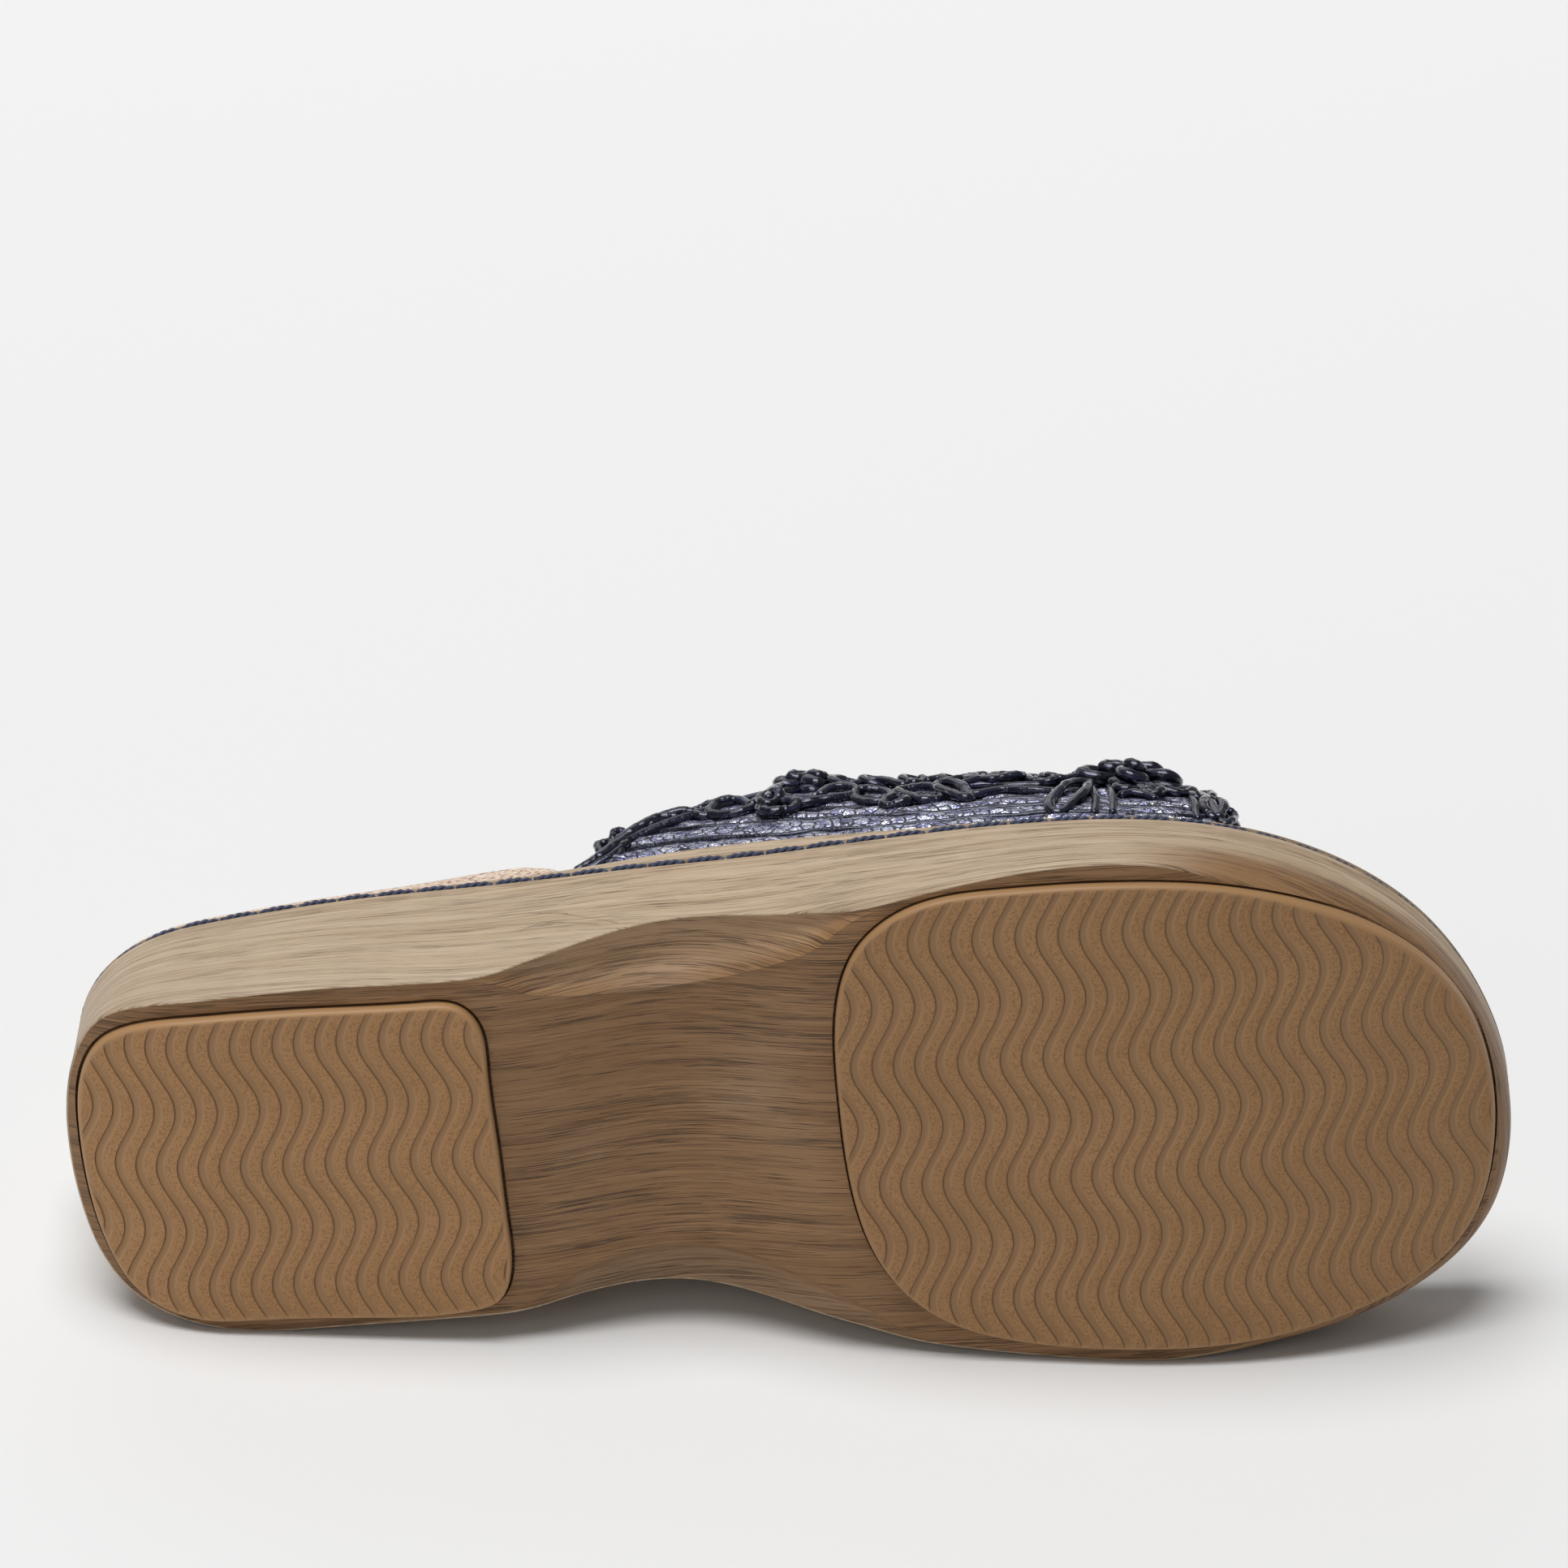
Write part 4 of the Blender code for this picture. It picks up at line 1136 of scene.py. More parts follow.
arch = strap_face(np.full(ARCH_POINTS, STRAP_MIDDLE), np.linspace(0, 180, ARCH_POINTS))
ARCH_LENGTH = np.linalg.norm(np.diff(arch, axis=0), axis=1).sum()
print("the strap is", round(ARCH_LENGTH, 1), "mm round the arch at its middle")

# %% [markdown]
# ## The strap's wall
# The strap is sewn from narrow lengthwise strips that puff up between dark piping lines, and the
# foil on them is crumpled. The outer face gets that relief: a pillow across each strip, borders that
# wander, and ridged noise for the crumples. The inner face is plain lining, and the loop of outer
# face, front edge, inner face and back edge is closed, so the wall has its real thickness.

# %% Strips and wall
STRIPS = 34
STRIP_PUFF = 1.15
STRIP_WANDER = 0.2
CRUMPLE = 0.42
WALL_ALONG = 190
WALL_ROUND = 330
LINING_ALONG = 24
SLOW_SIZE = (21, 12)
QUICK_SIZE = (7, 5)
QUICK_SHARE = 0.45
DENT_SIZE = (4.6, 2.4)
DENT_SHARE = 0.8
FOLD_SIZE = (3.0, 1.7)
FOLD_BEND = 0.4
FOLD_SHARE = 0.6
EDGE_FADE = (0.0, 2.5)
END_FADE = (0.0, 2.0)
STRAP_CRISP = 70.0


def strip_count(x, turn):
    """Number of strips passed at a place, counted from the outer rim; whole numbers are borders."""
    slow = wander(x / SLOW_SIZE[0], turn / SLOW_SIZE[1], 11)
    quick = wander(x / QUICK_SIZE[0], turn / QUICK_SIZE[1], 12)
    return turn / 180 * STRIPS + STRIP_WANDER * (slow + QUICK_SHARE * quick)


def strip_border(number, x):
    """Turn at which a border lies, found by repeating turn = (number - drift) * 180 / strips."""
    turn = np.full_like(x, number * 180 / STRIPS)
    for _ in range(6):
        turn = turn - (strip_count(x, turn) - number) * 180 / STRIPS
    return turn


def strip_relief(x, turn):
    """Pillow height (4p(1 - p))^0.5 across a strip, plus slow dents and ridged folds 1 - |noise|."""
    share = strip_count(x, turn) % 1.0
    pillow = (4 * share * (1 - share)) ** 0.5
    around = turn / 180 * ARCH_LENGTH
    dents = wander(x / DENT_SIZE[0], around / DENT_SIZE[1], 13)
    folds = 1 - 2 * np.abs(wander(x / FOLD_SIZE[0] + FOLD_BEND * dents, around / FOLD_SIZE[1], 14))
    crumples = DENT_SHARE * dents + FOLD_SHARE * folds
    return STRIP_PUFF * (pillow - 0.5) + CRUMPLE * pillow * crumples


def make_strap():
    """Closed loop of outer face and lining for each turn, with both lower ends down in the slot."""
    turns = np.concatenate(([0, 0], np.linspace(0, 180, WALL_ROUND), [180, 180]))[:, None]
    drop = np.concatenate(([1, 0.5], np.zeros(WALL_ROUND), [0.5, 1]))[:, None] * STRAP_TUCK
    back, front = strap_edges(turns)
    faces = []
    lays = []
    for is_lining, shares in ((0, np.linspace(0, 1, WALL_ALONG)), (1, np.linspace(1, 0, LINING_ALONG))):
        x = back + shares[None] * (front - back)
        turn = np.broadcast_to(turns, x.shape)
        edge_fade = smooth_step(np.minimum(x - back, front - x), *EDGE_FADE)
        end_fade = smooth_step(np.minimum(turn, 180 - turn), *END_FADE)
        relief = strip_relief(x, turn) * edge_fade * end_fade
        face = strap_place(x, turn, -STRAP_WALL * np.ones(x.shape) if is_lining else relief)
        face[..., 2] -= drop
        faces.append(face)
        lays.append(np.stack((x, turn / 180 * ARCH_LENGTH, 0 * x + is_lining), axis=-1))
    loops = np.concatenate(faces, axis=1)
    rows, columns = loops.shape[:2]
    quads = grid_quads(rows, columns, close_columns=True)
    cap = np.arange(columns)
    caps = [cap.tolist(), (cap + (rows - 1) * columns).tolist()]
    corners = np.concatenate((quads.ravel(), *caps))
    lay = np.concatenate(lays, axis=1).reshape(-1, 3)[corners]
    return new_object("strap_wall", loops.reshape(-1, 3), quads.tolist() + caps, {"lay": lay}, STRAP_CRISP)


strap = make_strap()
print("strap wall has", len(strap.data.polygons), "faces")

# %% [markdown]
# ## Foil leather
# Thin metal foil on dark leather cracks where it creases: bright plates with a periwinkle cast, and
# dark lines between. Distance to the borders of stretched random cells gives the cracks, which are
# dark, rough and not metal. The lining inside is plain black leather, picked out by the same field.

# %% Finish of the strap
FOIL_BRIGHT = (0.83, 0.85, 1.0)
FOIL_DEEP = (0.30, 0.31, 0.56)
FOIL_CRACK = (0.010, 0.010, 0.018)
LINING = (0.016, 0.015, 0.017)


def foil_finish():
    """Cells for the plates, noise for their tone, and rough dark cracks between them."""
    foil = Finish("navy_foil_leather", 0.3, Specular_IOR_Level=0.5)
    lay = foil.field("lay")
    inside = foil.part(lay, 2)
    warp = foil.noise(foil.scaled(lay, (2.6, 1.9, 1)), 2.0)
    bent = foil.join("ADD", lay, warp)
    plates = foil.cells(foil.scaled(bent, (2.3, 1.0, 1)))
    small = foil.cells(foil.scaled(bent, (0.95, 0.55, 1)))
    tone = foil.noise(foil.scaled(lay, (3.0, 1.5, 1)), 3.0, 0.6)
    crack = foil.math("MAXIMUM", foil.between(plates, 0.11, 0.03),
                      foil.between(small, 0.07, 0.02, 0.0, 0.55))
    dull = foil.math("MAXIMUM", crack, inside)
    shine = foil.mix(foil.between(tone, 0.36, 0.62), FOIL_DEEP, FOIL_BRIGHT)
    worn = foil.mix(crack, shine, FOIL_CRACK)
    colour = foil.mix(inside, worn, LINING)
    metal = foil.math("MULTIPLY", foil.math("SUBTRACT", 1.0, dull), 0.85)
    rough = foil.between(dull, 0.0, 1.0, 0.21, 0.6)
    crumple = foil.noise(foil.scaled(lay, (1.2, 0.8, 1)), 3.0, 0.6)
    height = foil.math("SUBTRACT", crumple, foil.math("MULTIPLY", crack, 0.4))
    return foil.done(Base_Color=colour, Metallic=metal, Roughness=rough, Normal=foil.relief(height, 0.45))


dress(strap, "upper", foil_finish(), "upper")

# %% [markdown]
# ## Round cords
# Piping, bindings, scrolls and flowers are all leather cord on a path over the strap. A tube is a
# circle carried along the path. The strap's own normal, made square to the path, holds the circle
# upright, so the tube can't twist. Its field is the cord laid out straight: two numbers round the
# circle and one along the length, and so its wrinkles run with it.

# %% Tubes on paths
FLOOR_CLEAR = 0.05
CORD_SIDES = 10
CORD_FLAT = 0.1


def unit(vectors):
    """Vectors scaled to length 1."""
    return vectors / np.linalg.norm(vectors, axis=-1, keepdims=True)


def run_along(points):
    """Length run along a path, from its first point to each point."""
    return np.concatenate(([0.0], np.cumsum(np.linalg.norm(np.diff(points, axis=0), axis=1))))


def waves(angle, rows):
    """Sum of share * sin(count * angle + phase) over rows of share, count and phase."""
    return sum(share * np.sin(count * angle + phase) for share, count, phase in rows)


def tube(centre, upright, radius, sides, closed=False, flat=0.0):
    """Rings centre + radius * (cos * raised + sin * beside), flattened by a share; round open tips."""
    step = np.roll(centre, -1, axis=0) - np.roll(centre, 1, axis=0) if closed else np.gradient(centre, axis=0)
    forward = unit(step)
    raised = unit(upright - forward * np.sum(upright * forward, axis=-1, keepdims=True))
    beside = np.cross(forward, raised)
    run = run_along(centre)
    size = np.broadcast_to(radius, len(centre)).astype(float)
    if not closed:
        tip = np.clip(np.minimum(run, run[-1] - run) / size, 0, 1)
        size = size * np.sqrt(1 - (1 - tip) ** 2)
    angle = np.arange(sides) * math.tau / sides
    circle = np.stack((np.cos(angle), np.sin(angle)))[:, None, :, None] * size[:, None, None]
    rings = centre[:, None] + circle[0] * (1 - flat) * raised[:, None]
    rings = rings + circle[1] * (1 + flat) * beside[:, None]
    length = np.broadcast_to(run[:, None], rings.shape[:2])
    return rings, np.stack((circle[0][..., 0], circle[1][..., 0], length), axis=-1), closed


def join_tubes(name, tubes):
    """One object of many tubes."""
    points = np.concatenate([rings.reshape(-1, 3) for rings, _, _ in tubes])
    lays = np.concatenate([lay.reshape(-1, 3) for _, lay, _ in tubes])
    starts = np.cumsum([0] + [rings.shape[0] * rings.shape[1] for rings, _, _ in tubes])
    quads = np.concatenate([
        start + grid_quads(*rings.shape[:2], close_rows=closed, close_columns=True)
        for (rings, _, closed), start in zip(tubes, starts)])
    return new_object(name, points, quads.tolist(), {"lay": lays[quads].reshape(-1, 3)})


def above_floor(centre, radius):
    """Where a cord would reach below the floor that the shoe lies on, it is pressed up on to it."""
    height = to_row(centre)[..., 2] / MM
    lift = np.clip(radius + FLOOR_CLEAR - height, 0, None)
    return centre + lift[..., None] * STANDING[:, 2]


def strap_tube(x, turn, proud, radius, sides=CORD_SIDES, closed=False):
    """A tube whose centre stands proud of the strap along a path in x and turn."""
    centre = above_floor(strap_place(x, turn, proud), radius)
    return tube(centre, strap_normal(x, turn), radius, sides, closed, CORD_FLAT)


# %% Piping between the strips
PIPING_RADIUS = 0.64
PIPING_STEP = 1.1
PIPING_END = 1.0
PIPING_SIDES = 6
PIPING_PROUD = 0.10
PIPING_SWAY = 0.20
PIPING_SWAY_SIZE = 6
PIPING_UNEVEN = 0.16
PIPING_UNEVEN_SIZE = 3.5


def make_piping():
    """A thin cord in each border between strips, from the back edge to the front edge."""
    tubes = []
    for number in range(1, STRIPS):
        back, front = strap_edges(number * 180 / STRIPS)
        x = np.linspace(back + PIPING_END, front - PIPING_END, int((front - back) / PIPING_STEP))
        turn = strip_border(number, x)
        line = np.full_like(x, number)
        proud = PIPING_PROUD + PIPING_SWAY * wander(x / PIPING_SWAY_SIZE, line, 21)
        radius = PIPING_RADIUS * (1 + PIPING_UNEVEN * wander(x / PIPING_UNEVEN_SIZE, line, 22))
        tubes.append(strap_tube(x, turn, proud, radius, PIPING_SIDES))
    return join_tubes("strap_piping", tubes)


piping = make_piping()
print("piping lines", STRIPS - 1)

# %% [markdown]
# ## Scrolls
# Soutache work lays leather cord in loops. On the outer side, which the photograph shows, each ring
# and strand is placed one by one where it is seen. Further round, a long cord runs in loop after loop.
# Such a line is a trochoid: a point that swings round while its centre moves on, so that it crosses
# its own path. The height swings too, a quarter turn later, and so one strand climbs over the other.

# %% Scroll cords on the strap
RING_SLIM = 0.9
SCROLL_CLIMB = 1.1
SCROLL_POINTS = 26
RING_POINTS = 64
RING_SWELL = 0.25
STRAND_POINTS = 12
STRAND_SWAY = 0.22
STRAND_SWAY_SIZE = 6
CHAIN_POINTS = 200
CHAIN_DRIFT = 2.5
CHAIN_DRIFT_SIZE = 30
CHAIN_LIFT = 0.95
CHAIN_HURRY = 1.1
CHAIN_UNEVEN = 0.28
RINGS = (  # x, turn in degrees, half length along, half length round, tilt, proud, lean, radius
    (96.2, 6.4, 2.3, 3.6, 14, 0.9, 0.2, 0.85),
    (97.8, 9.0, 1.5, 2.4, 0, 1.2, 0.4, 0.80),
    (112.8, 17.4, 1.8, 3.0, -10, 1.2, 0.2, 0.85),
    (117.6, 17.4, 3.6, 4.0, 30, 1.3, 0.3, 1.00),
    (126.0, 14.6, 3.0, 3.2, 20, 1.6, 0.0, 1.15),
    (124.6, 17.0, 1.7, 2.6, -30, 2.7, 0.4, 0.95),
    (142.8, 20.3, 3.1, 4.6, 20, 1.3, 0.3, 0.95),
    (147.0, 15.0, 1.7, 3.0, -20, 1.3, 0.0, 1.05),
    (151.4, 20.0, 3.2, 5.6, 24, 1.4, 0.3, 1.00),
    (157.2, 19.6, 1.9, 5.8, 28, 1.8, 0.5, 1.00),
    (150.4, 33.0, 1.5, 3.2, 0, 2.2, 0.3, 0.95),
    (159.4, 30.0, 2.4, 4.6, -25, 2.2, 0.4, 0.95),
    (162.4, 32.0, 2.6, 4.4, 25, 2.5, 0.4, 1.00),
    (166.3, 32.0, 2.6, 4.2, -20, 2.8, 0.3, 1.00),
    (172.6, 30.5, 2.1, 4.4, 10, 2.2, 0.3, 0.95),
    (176.3, 33.0, 2.4, 4.0, -15, 2.8, 0.3, 0.95),
    (177.7, 14.8, 2.5, 9.4, -14, 1.5, 0.5, 0.95),
    (188.6, 21.5, 2.9, 3.6, 0, 1.5, 0.0, 0.95),
    (191.6, 19.0, 1.6, 3.0, 10, 1.5, 0.0, 1.00),
    (195.4, 25.0, 3.0, 3.2, 0, 1.4, 0.0, 1.05),
    (200.4, 24.0, 1.9, 4.2, -10, 1.2, 0.2, 0.90),
    (202.3, 11.0, 1.9, 4.6, -6, 1.3, 0.2, 0.95),
    (204.6, 6.0, 1.2, 3.4, -10, 1.0, 0.0, 0.80),
)
STRANDS = (  # radius, then x, turn in degrees and proud for each place on the way
    (0.80, ((89.6, 0.9, 0.2), (92.0, 2.2, 0.7), (94.5, 3.8, 1.0), (97.0, 6.4, 1.1))),
    (0.70, ((91.6, 0.6, 0.3), (94.6, 2.0, 0.8), (97.4, 4.6, 1.0), (99.6, 7.6, 1.1))),
    (1.05, ((93.6, 2.2, 1.1), (97.2, 6.6, 1.3), (100.4, 10.2, 1.4), (104.0, 13.0, 1.4), (107.4, 15.6, 1.0))),
    (1.00, ((97.5, 7.4, 1.3), (99.8, 10.0, 1.7), (102.2, 12.0, 1.9), (105.0, 14.0, 1.9), (108.4, 15.2, 1.1))),
    (0.95, ((103.6, 13.2, 1.3), (106.0, 15.0, 1.8), (108.6, 16.2, 1.9), (111.4, 16.6, 1.1))),
    (0.90, ((120.6, 17.5, 1.2), (122.5, 19.4, 1.6), (125.4, 21.0, 1.8), (128.8, 20.0, 1.2))),
    (0.80, ((124.4, 15.0, 3.0), (124.6, 22.0, 2.6), (126.4, 29.0, 2.2))),
    (1.10, ((127.6, 15.8, 1.2), (131.4, 16.8, 1.4), (135.0, 18.6, 1.3), (140.0, 21.6, 1.1))),
    (0.85, ((133.0, 22.0, 1.2), (135.0, 26.0, 1.9), (138.2, 27.0, 2.0), (141.0, 24.0, 1.2))),
    (0.90, ((138.5, 30.0, 1.6), (141.0, 33.0, 2.4), (144.4, 33.0, 2.5), (148.6, 29.0, 1.5))),
    (0.85, ((152.0, 30.0, 2.2), (154.6, 33.0, 2.6), (158.0, 30.0, 1.6))),
    (0.85, ((158.0, 18.0, 1.1), (161.4, 17.8, 1.2), (165.6, 20.6, 1.2), (169.6, 19.2, 1.2),
            (175.4, 18.0, 1.0))),
    (0.85, ((157.0, 25.0, 1.2), (162.0, 27.0, 1.4), (167.0, 26.0, 1.2), (173.0, 26.0, 1.2))),
    (0.66, ((181.7, 2.5, 0.8), (181.9, 12.0, 1.1), (181.4, 24.0, 1.2))),
    (0.66, ((184.7, 2.5, 0.8), (184.9, 12.0, 1.1), (184.4, 26.0, 1.2))),
    (0.80, ((186.0, 14.0, 1.0), (189.0, 16.0, 1.3), (193.0, 13.0, 0.9))),
    (0.66, ((199.4, 2.0, 0.8), (199.2, 10.0, 1.0), (198.6, 18.0, 1.0))),
)


def ring_loop(x, turn, half_along, half_round, tilt, proud, lean, radius):
    """An ellipse on the strap, tilted in its face, with one end standing higher by the lean."""
    angle = np.arange(RING_POINTS) * math.tau / RING_POINTS
    per_degree = np.linalg.norm(strap_tangents(x, turn)[1])
    loose = 1 + waves(angle, ((0.10, 2, 3 * x), (0.07, 3, turn), (0.04, 5, x)))
    wind = (half_along * np.cos(angle) + 1j * half_round * np.sin(angle)) * np.exp(1j * math.radians(tilt))
    wind = wind * loose
    height = proud + waves(angle, ((lean, 1, 0.0), (RING_SWELL, 2, x)))
    wrinkled = waves(angle, ((0.08, 3, x), (0.05, 9, 2 * x), (0.04, 14, turn)))
    thick = RING_SLIM * radius * (1 + wrinkled)
    return strap_tube(x + wind.real, turn + wind.imag / per_degree, height, thick, closed=True)


def strand(radius, places):
    """A cord through places, by the Catmull-Rom cubic between each pair of neighbours."""
    rows = np.array(places)
    rows = np.concatenate((2 * rows[:1] - rows[1:2], rows, 2 * rows[-1:] - rows[-2:-1]))
    a, b, c, d = (rows[k:len(rows) - 3 + k, None] for k in range(4))
    t = np.linspace(0, 1, STRAND_POINTS, endpoint=False)[None, :, None]
    curve = b + (c - a) * t / 2 + (2 * a - 5 * b + 4 * c - d) * t ** 2 / 2
    curve = curve + (3 * b - a - 3 * c + d) * t ** 3 / 2
    path = np.concatenate((curve.reshape(-1, 3), rows[-2:-1]))
    step = np.arange(len(path))
    path[:, 0] += STRAND_SWAY * wander(step / STRAND_SWAY_SIZE, places[0][0], 62)
    path[:, 1] += STRAND_SWAY * wander(step / STRAND_SWAY_SIZE, places[0][0], 63)
    thick = radius * (1 + 0.08 * wander(step / 4, 0.5, 61) + 0.06 * wander(step / 1.5, 0.5, 64))
    return strap_tube(*path.T, thick)


def loop_chain(x, turn, pitch, swing, reach, seed, radius):
    """Trochoid along a base line: swing * sin along it and reach * cos across it, with some wander."""
    base = strap_face(x, turn)
    run = run_along(base)
    steps = np.linspace(0, run[-1], int(SCROLL_POINTS * run[-1] / pitch))
    x = np.interp(steps, run, x)
    turn = np.interp(steps, run, turn)
    per_degree = np.linalg.norm(strap_tangents(x, turn)[1], axis=1)
    heading = unit(np.column_stack((np.gradient(x), np.gradient(turn) * per_degree)))
    angle = math.tau * steps / pitch + CHAIN_HURRY * wander(steps / (1.6 * pitch), 0.5, seed)
    size = 1 + CHAIN_UNEVEN * wander(steps / (0.8 * pitch), 1.5, seed)
    ahead = swing * size * np.sin(angle)
    aside = reach * size * np.cos(angle)
    x = x + ahead * heading[:, 0] - aside * heading[:, 1]
    turn = turn + (ahead * heading[:, 1] + aside * heading[:, 0]) / per_degree
    proud = radius * (CHAIN_LIFT + SCROLL_CLIMB * (1 - np.sin(angle)))
    thick = radius * (1 + 0.1 * wander(steps / 3.0, 2.5, seed))
    return strap_tube(x, turn, proud, thick)


SCROLLS = (  # turn in degrees, gap to the back and to the front edge, pitch, swing, reach, seed, radius
    (34.0, 6.0, 8.0, 6.4, 3.2, 2.6, 36, 0.9),
    (62.0, 6.0, 6.0, 14.5, 5.0, -4.2, 32, 1.1),
    (90.0, 6.0, 6.0, 14.0, 4.8, 4.0, 33, 1.1),
    (120.0, 6.0, 6.0, 14.5, 5.0, 4.2, 34, 1.1),
    (153.0, 7.0, 6.0, 13.5, 4.6, -3.6, 35, 1.1),
)


def make_scrolls():
    """Rings and strands of the outer side, then chains along the shoe further round."""
    tubes = [ring_loop(*row) for row in RINGS]
    tubes += [strand(*row) for row in STRANDS]
    for turn, start, end, pitch, swing, reach, seed, radius in SCROLLS:
        back, front = strap_edges(turn)
        x = np.linspace(back + start, front - end, CHAIN_POINTS)
        drift = CHAIN_DRIFT * wander(x / CHAIN_DRIFT_SIZE, 0.5, seed + 20)
        tubes.append(loop_chain(x, turn + drift, pitch, swing, reach, seed, radius))
    return join_tubes("strap_scrolls", tubes)


scrolls = make_scrolls()
print("scrolls have", len(scrolls.data.polygons), "faces")

# %% [markdown]
# ## Bindings
# A thicker cord covers each cut edge of the strap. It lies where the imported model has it, and a
# second, thinner cord runs beside it on the strap's face.

# %% Edge bindings
BINDING_TURN = (3.5, 176.5)
BINDING_POINTS = 240
BINDING_SIDES = 14
BINDING_UNEVEN = 0.05
SECOND_SIDES = 12
SECOND_SLIM = 0.72
SECOND_SWAY = 0.5
SECOND_UNEVEN = 0.10


def make_binding(name, side, beside):
    """A cord against the middle of one edge, and any cords beside it, each a distance in on the face."""
    turn = np.linspace(*BINDING_TURN, BINDING_POINTS)
    edge_x = strap_edges(turn)[side]
    face = strap_place(edge_x, turn, np.full_like(turn, -STRAP_WALL / 2))
    normal = strap_normal(edge_x, turn)
    outward = np.cross(normal, unit(np.gradient(face, axis=0)))
    outward *= np.sign(outward[:, :1]) * (2 * side - 1)
    thick = CORD_RADIUS * (1 + BINDING_UNEVEN * wander(turn / 2.0, 0.5, 51 + side))
    centre = above_floor(face + outward * (CORD_RADIUS + GAP), thick)
    tubes = [tube(centre, normal, thick, BINDING_SIDES)]
    for inside, proud, seed in beside:
        x = edge_x + (inside + SECOND_SWAY * wander(turn / 12, 0.5, seed)) * (1 - 2 * side)
        thick = SECOND_SLIM * CORD_RADIUS * (1 + SECOND_UNEVEN * wander(turn / 2.5, 1.5, seed))
        tubes.append(strap_tube(x, turn, np.full_like(turn, proud), thick, SECOND_SIDES))
    return join_tubes(name, tubes)


throat_binding = make_binding("throat_binding", 0, ((1.2, 0.8, 55),))
toe_binding = make_binding("toe_binding", 1, ((1.2, 0.9, 56),))
print("bindings made for both edges")

# %% [markdown]
# ## Flowers
# Each flower is cord wound into petals and held by a smaller coil on top. Two turning arrows added
# together, one slow and one fast the other way, draw the petals: that is a hypotrochoid. Three such
# layers, each smaller and higher, make one flower.

# %% Flowers of coiled cord
FLOWERS = (  # CAD node, x, turn in degrees, radius, rise
    ("rosette_outer_back", 130.6, 37.0, 7.6, 0.80),
    ("rosette_outer_front", 188.0, 35.0, 10.2, 1.22),
    ("rosette_crest_back", 147.0, 88.0, 7.2, 1.0),
    ("rosette_crest_front", 175.0, 92.0, 7.2, 1.0),
    ("rosette_inner_back", 131.0, 143.0, 7.0, 0.9),
    ("rosette_inner_front", 186.0, 139.0, 8.2, 1.0),
)
LAYERS = (  # petals, slow and fast arrow as shares of the reach, height, height swing, cord radius
    (5, 0.61, 0.39, 1.15, 0.45, 1.10),
    (5, 0.55, 0.38, 2.60, 0.50, 1.40),
    (4, 0.30, 0.24, 4.00, 0.35, 1.25),
)
FLOWER_POINTS = 120
FLOWER_TURN = 0.9
PETAL_UNEVEN = 0.07


def make_flower(node, x, turn, radius, rise, start):
    """Layers a * exp(i t) + b * exp(-i (petals - 1) t) on the strap, turned by a start angle."""
    per_degree = np.linalg.norm(strap_tangents(x, turn)[1])
    tubes = []
    for petals, slow, fast, height, climb, cord in LAYERS:
        angle = np.arange(FLOWER_POINTS) * math.tau / FLOWER_POINTS
        reach = radius - cord
        wind = slow * np.exp(1j * angle) + fast * np.exp(-1j * (petals - 1) * angle)
        wind = wind * np.exp(1j * (start + height)) * reach
        wind = wind * (1 + PETAL_UNEVEN * np.sin(2 * angle + start))
        proud = rise * (height + climb * np.sin(petals * angle))
        thick = cord * (1 + waves(angle, ((0.07, 7, start), (0.05, 23, 2 * start))))
        tubes.append(strap_tube(x + wind.real, turn + wind.imag / per_degree, proud, thick, closed=True))
    return join_tubes(node.replace("rosette", "flower"), tubes)


flowers = [make_flower(*row, FLOWER_TURN * number) for number, row in enumerate(FLOWERS)]
print("flowers made", len(flowers))

# %% [markdown]
# ## Cord leather
# The cords are strips of black leather rolled round a core: glossy, a little blue where they catch
# the light, with creases that run along them and fine cross wrinkles in the bends.

# %% Finish of the cords
CORD_BLACK = (0.005, 0.005, 0.009)
CORD_BLUE = (0.022, 0.024, 0.058)
CORD_SHINE = (0.72, 0.76, 1.0, 1.0)
PIPING_BLACK = (0.006, 0.006, 0.009)
PIPING_BLUE = (0.020, 0.021, 0.036)


def cord_finish(name, dark, rubbed_blue, coat):
    """Noise stretched along the cord for creases, and a tighter one for cross wrinkles."""
    leather = Finish(name, 0.3, Specular_IOR_Level=0.6, Specular_Tint=CORD_SHINE,
                     Coat_Weight=coat, Coat_Roughness=0.08)
    lay = leather.field("lay")
    crease = leather.noise(leather.scaled(lay, (0.55, 0.55, 4.5)), 3.0, 0.6)
    wrinkle = leather.noise(leather.scaled(lay, (1.4, 1.4, 0.55)), 2.0)
    rubbed = leather.between(crease, 0.48, 0.68)
    colour = leather.mix(rubbed, dark, rubbed_blue)
    rough = leather.between(wrinkle, 0.3, 0.7, 0.08, 0.24)
    height = leather.math("ADD", crease, leather.math("MULTIPLY", wrinkle, 0.6))
    return leather.done(Base_Color=colour, Roughness=rough, Normal=leather.relief(height, 0.15))


cord_leather = cord_finish("black_cord_leather", CORD_BLACK, CORD_BLUE, 0.35)
dress(piping, "upper", cord_finish("black_piping", PIPING_BLACK, PIPING_BLUE, 0.1))
dress(scrolls, "cord", cord_leather)
dress(throat_binding, "cord", cord_leather, "throat_cord")
dress(toe_binding, "cord", cord_leather, "toe_cord")
for flower, row in zip(flowers, FLOWERS):
    dress(flower, "cord", cord_leather, row[0])

# %% [markdown]
# ## Thread
# Long navy stitches run round the wall in the channel. Each is two plies twisted together, which dive
# into the wall at both ends, close to the next.

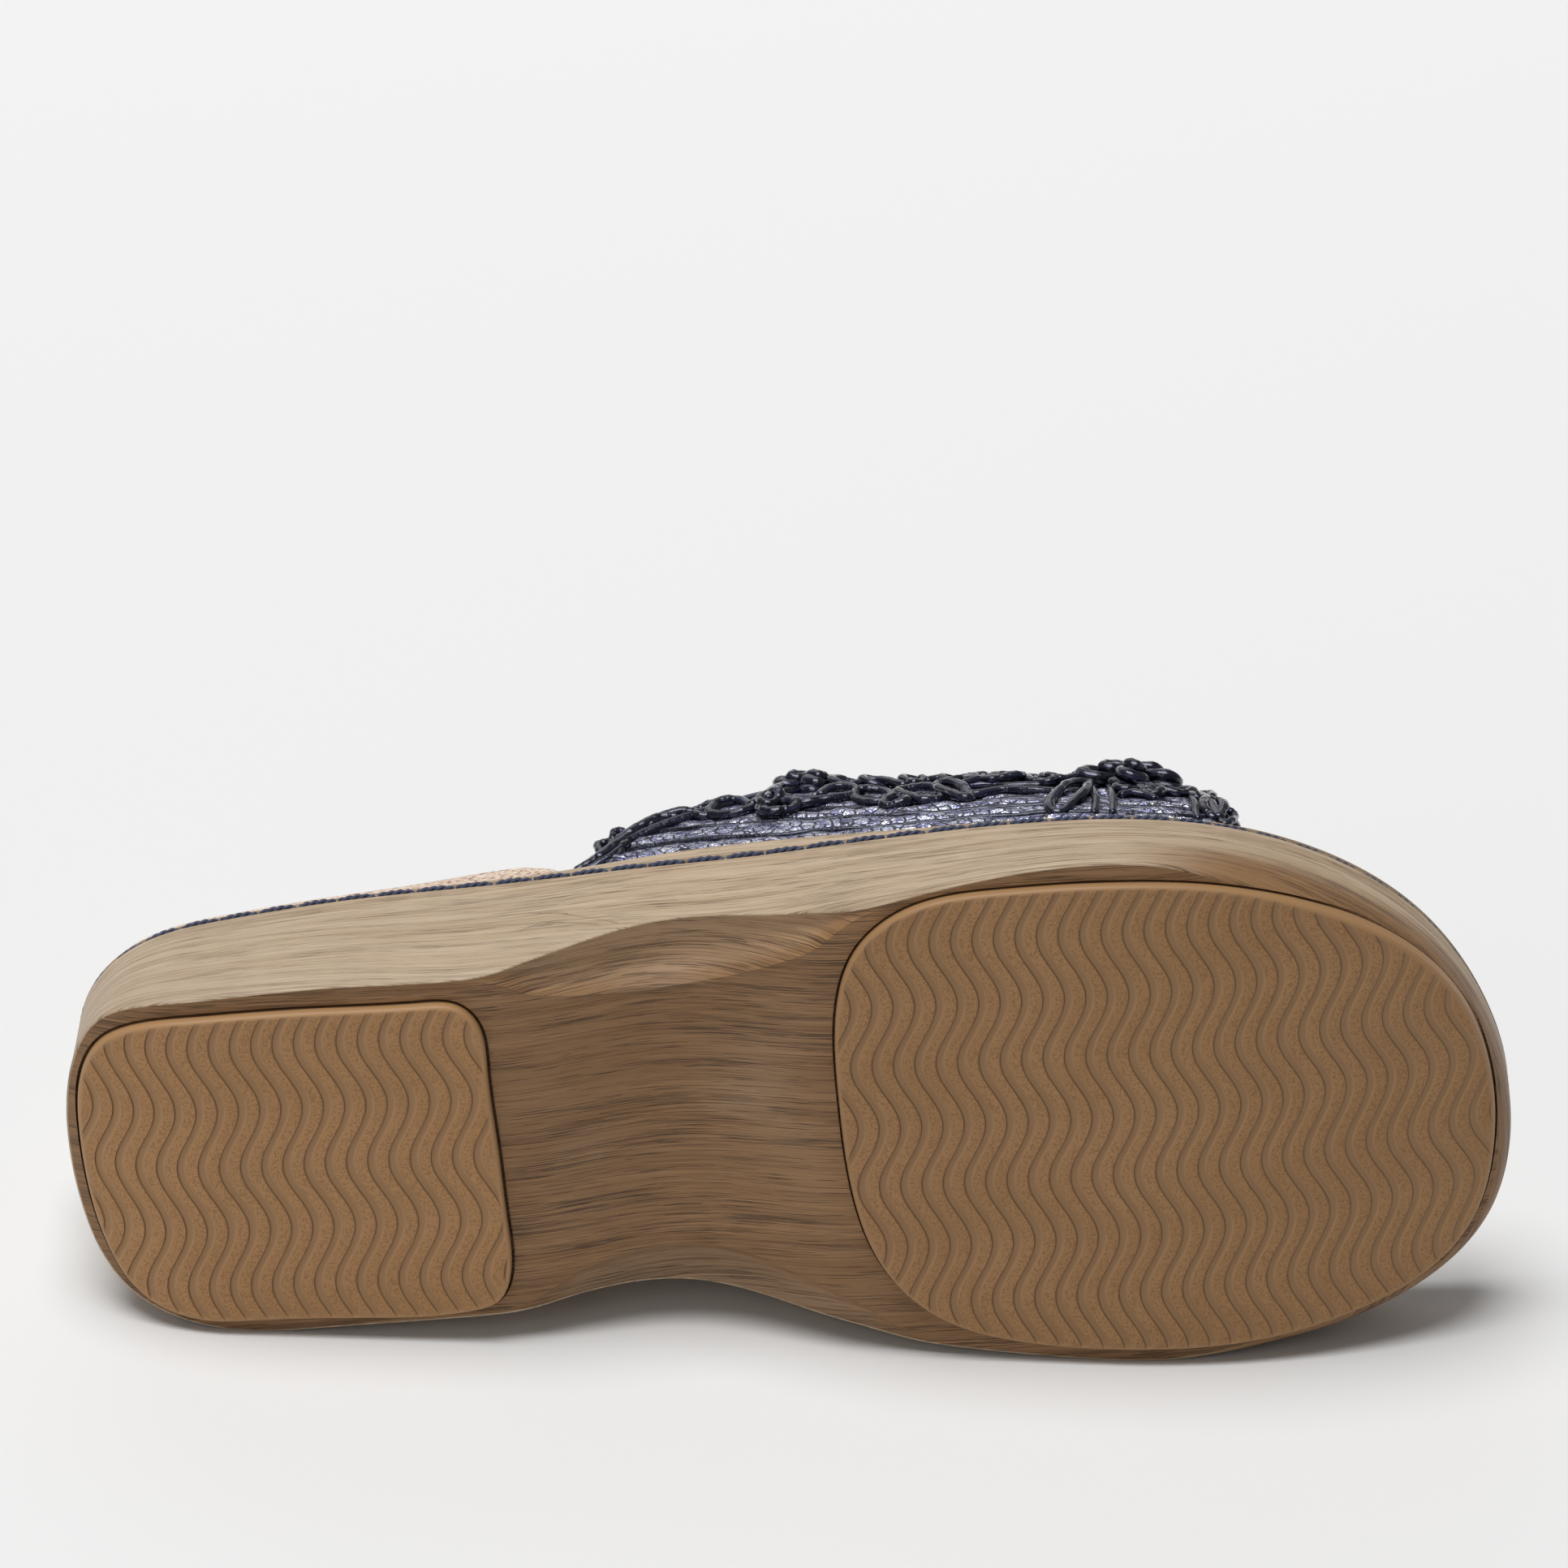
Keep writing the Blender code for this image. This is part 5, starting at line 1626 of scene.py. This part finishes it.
# %% Stitches in the channel
STITCH_LENGTH = 7.0
STITCH_GAP = 0.2
STITCH_SUNK = -0.60
STITCH_BOW = 0.52
STITCH_DEEPER = 0.5
STITCH_HEEL = (4.0, 20.0)
STITCH_TOE = (190.0, 220.0)
PLY_RADIUS = 0.40
PLY_APART = 0.30
PLY_TWIST = 3.1
PLY_SIDES = 6
STITCH_POINTS = 19
THREAD_NAVY = (0.022, 0.030, 0.068)
THREAD_PALE = (0.062, 0.076, 0.140)


def make_stitches():
    """Two tubes for each stitch, winding round a line that bows out of the channel."""
    line = wall_point(thread_drop(rim[:, 0]))
    outward = ring(-inward(rim), 0)
    closed_line = np.concatenate((line, line[:1]))
    closed_out = np.concatenate((outward, outward[:1]))
    run = run_along(closed_line)
    count = round(run[-1] / (STITCH_LENGTH + STITCH_GAP))
    spacing = run[-1] / count
    share = np.linspace(0, 1, STITCH_POINTS)
    tubes = []
    for number in range(count):
        at = number * spacing + share * (spacing - STITCH_GAP)
        spot = np.column_stack([np.interp(at, run, closed_line[:, k]) for k in range(3)])
        out = unit(np.column_stack([np.interp(at, run, closed_out[:, k]) for k in range(3)]))
        ends = 1 - smooth_step(spot[:, 0], *STITCH_HEEL) + smooth_step(spot[:, 0], *STITCH_TOE)
        bow = STITCH_SUNK + STITCH_BOW * np.sin(math.pi * share) ** 0.5 - STITCH_DEEPER * ends
        middle = spot + out * bow[:, None]
        above = np.array((0.0, 0.0, 1.0))
        for ply in (0.0, math.pi):
            wind = math.tau * at / PLY_TWIST + ply
            centre = middle + PLY_APART * (np.cos(wind)[:, None] * out + np.sin(wind)[:, None] * above)
            tubes.append(tube(centre, out, PLY_RADIUS, PLY_SIDES))
    print("stitches", count, "of", round(spacing - STITCH_GAP, 2), "mm")
    return join_tubes("rim_stitches", tubes)


def thread_finish():
    """Fibres along each ply, in darker and paler navy."""
    thread = Finish("navy_thread", 0.55, Specular_IOR_Level=0.4, Sheen_Weight=0.3)
    lay = thread.field("lay")
    fibre = thread.noise(thread.scaled(lay, (0.13, 0.13, 1.2)), 2.0)
    colour = thread.mix(thread.between(fibre, 0.38, 0.66), THREAD_NAVY, THREAD_PALE)
    return thread.done(Base_Color=colour, Normal=thread.relief(fibre, 0.08))


stitches = make_stitches()
dress(stitches, "cord", thread_finish())

# %% [markdown]
# ## Floor and light
# A product photograph has a pale sweep and a large soft light overhead. A sun with a wide angle, a
# little in front of the shoe, lights the whole floor evenly and leaves only a tight shadow at the
# foot of the sole. A weak square lamp at the front left fills the tread and falls off to the toe. A
# broad lamp behind the shoe is what the foil and the glossy cords mirror towards the camera.

# %% Floor, lamps and sky
FLOOR_SIZE = 8.0
FLOOR_GREY = 0.80
KEY_STRENGTH = 2.74
KEY_ANGLE = 40.0
KEY_FROM = (-0.18, -0.04, 1.0)
FILL_POWER = 1.3
FILL_SIZE = 0.7
FILL_FROM = (-0.55, -0.95, 0.45)
BACK_POWER = 3.8
BACK_SIZE = 1.3
BACK_FROM = (-0.35, 1.55, 0.95)
SKY_STRENGTH = 0.15


def make_floor():
    """One square under the shoe, with its finish."""
    half = FLOOR_SIZE / 2
    mesh = bpy.data.meshes.new("studio_floor")
    corners = [(-half, -half, 0), (half, -half, 0), (half, half, 0), (-half, half, 0)]
    mesh.from_pydata(corners, [], [(0, 1, 2, 3)])
    paper = Finish("studio_paper", 0.9, Specular_IOR_Level=0.1)
    paper.shader.inputs["Base Color"].default_value = (FLOOR_GREY, FLOOR_GREY, FLOOR_GREY, 1.0)
    mesh.materials.append(paper.material)
    floor = bpy.data.objects.new("studio_floor", mesh)
    bpy.context.scene.collection.objects.link(floor)


def make_lamp(name, kind, energy, source):
    """A lamp at a place, in metres, turned to shine at the origin."""
    lamp = bpy.data.lights.new(name, kind)
    lamp.energy = energy
    holder = bpy.data.objects.new(name, lamp)
    holder.location = source
    across = math.hypot(source[0], source[1])
    holder.rotation_euler = (math.atan2(across, source[2]), 0.0, math.atan2(source[0], -source[1]))
    bpy.context.scene.collection.objects.link(holder)
    return lamp


make_floor()
make_lamp("overhead_light", "SUN", KEY_STRENGTH, KEY_FROM).angle = math.radians(KEY_ANGLE)
make_lamp("front_fill", "AREA", FILL_POWER, FILL_FROM).size = FILL_SIZE
make_lamp("back_light", "AREA", BACK_POWER, BACK_FROM).size = BACK_SIZE
sky = bpy.data.worlds.new("studio")
sky.use_nodes = True
sky.node_tree.nodes["Background"].inputs["Color"].default_value = (1.0, 1.0, 1.0, 1.0)
sky.node_tree.nodes["Background"].inputs["Strength"].default_value = SKY_STRENGTH
bpy.context.scene.world = sky
bpy.context.scene.view_settings.view_transform = "Standard"
print("light set for a pale floor")
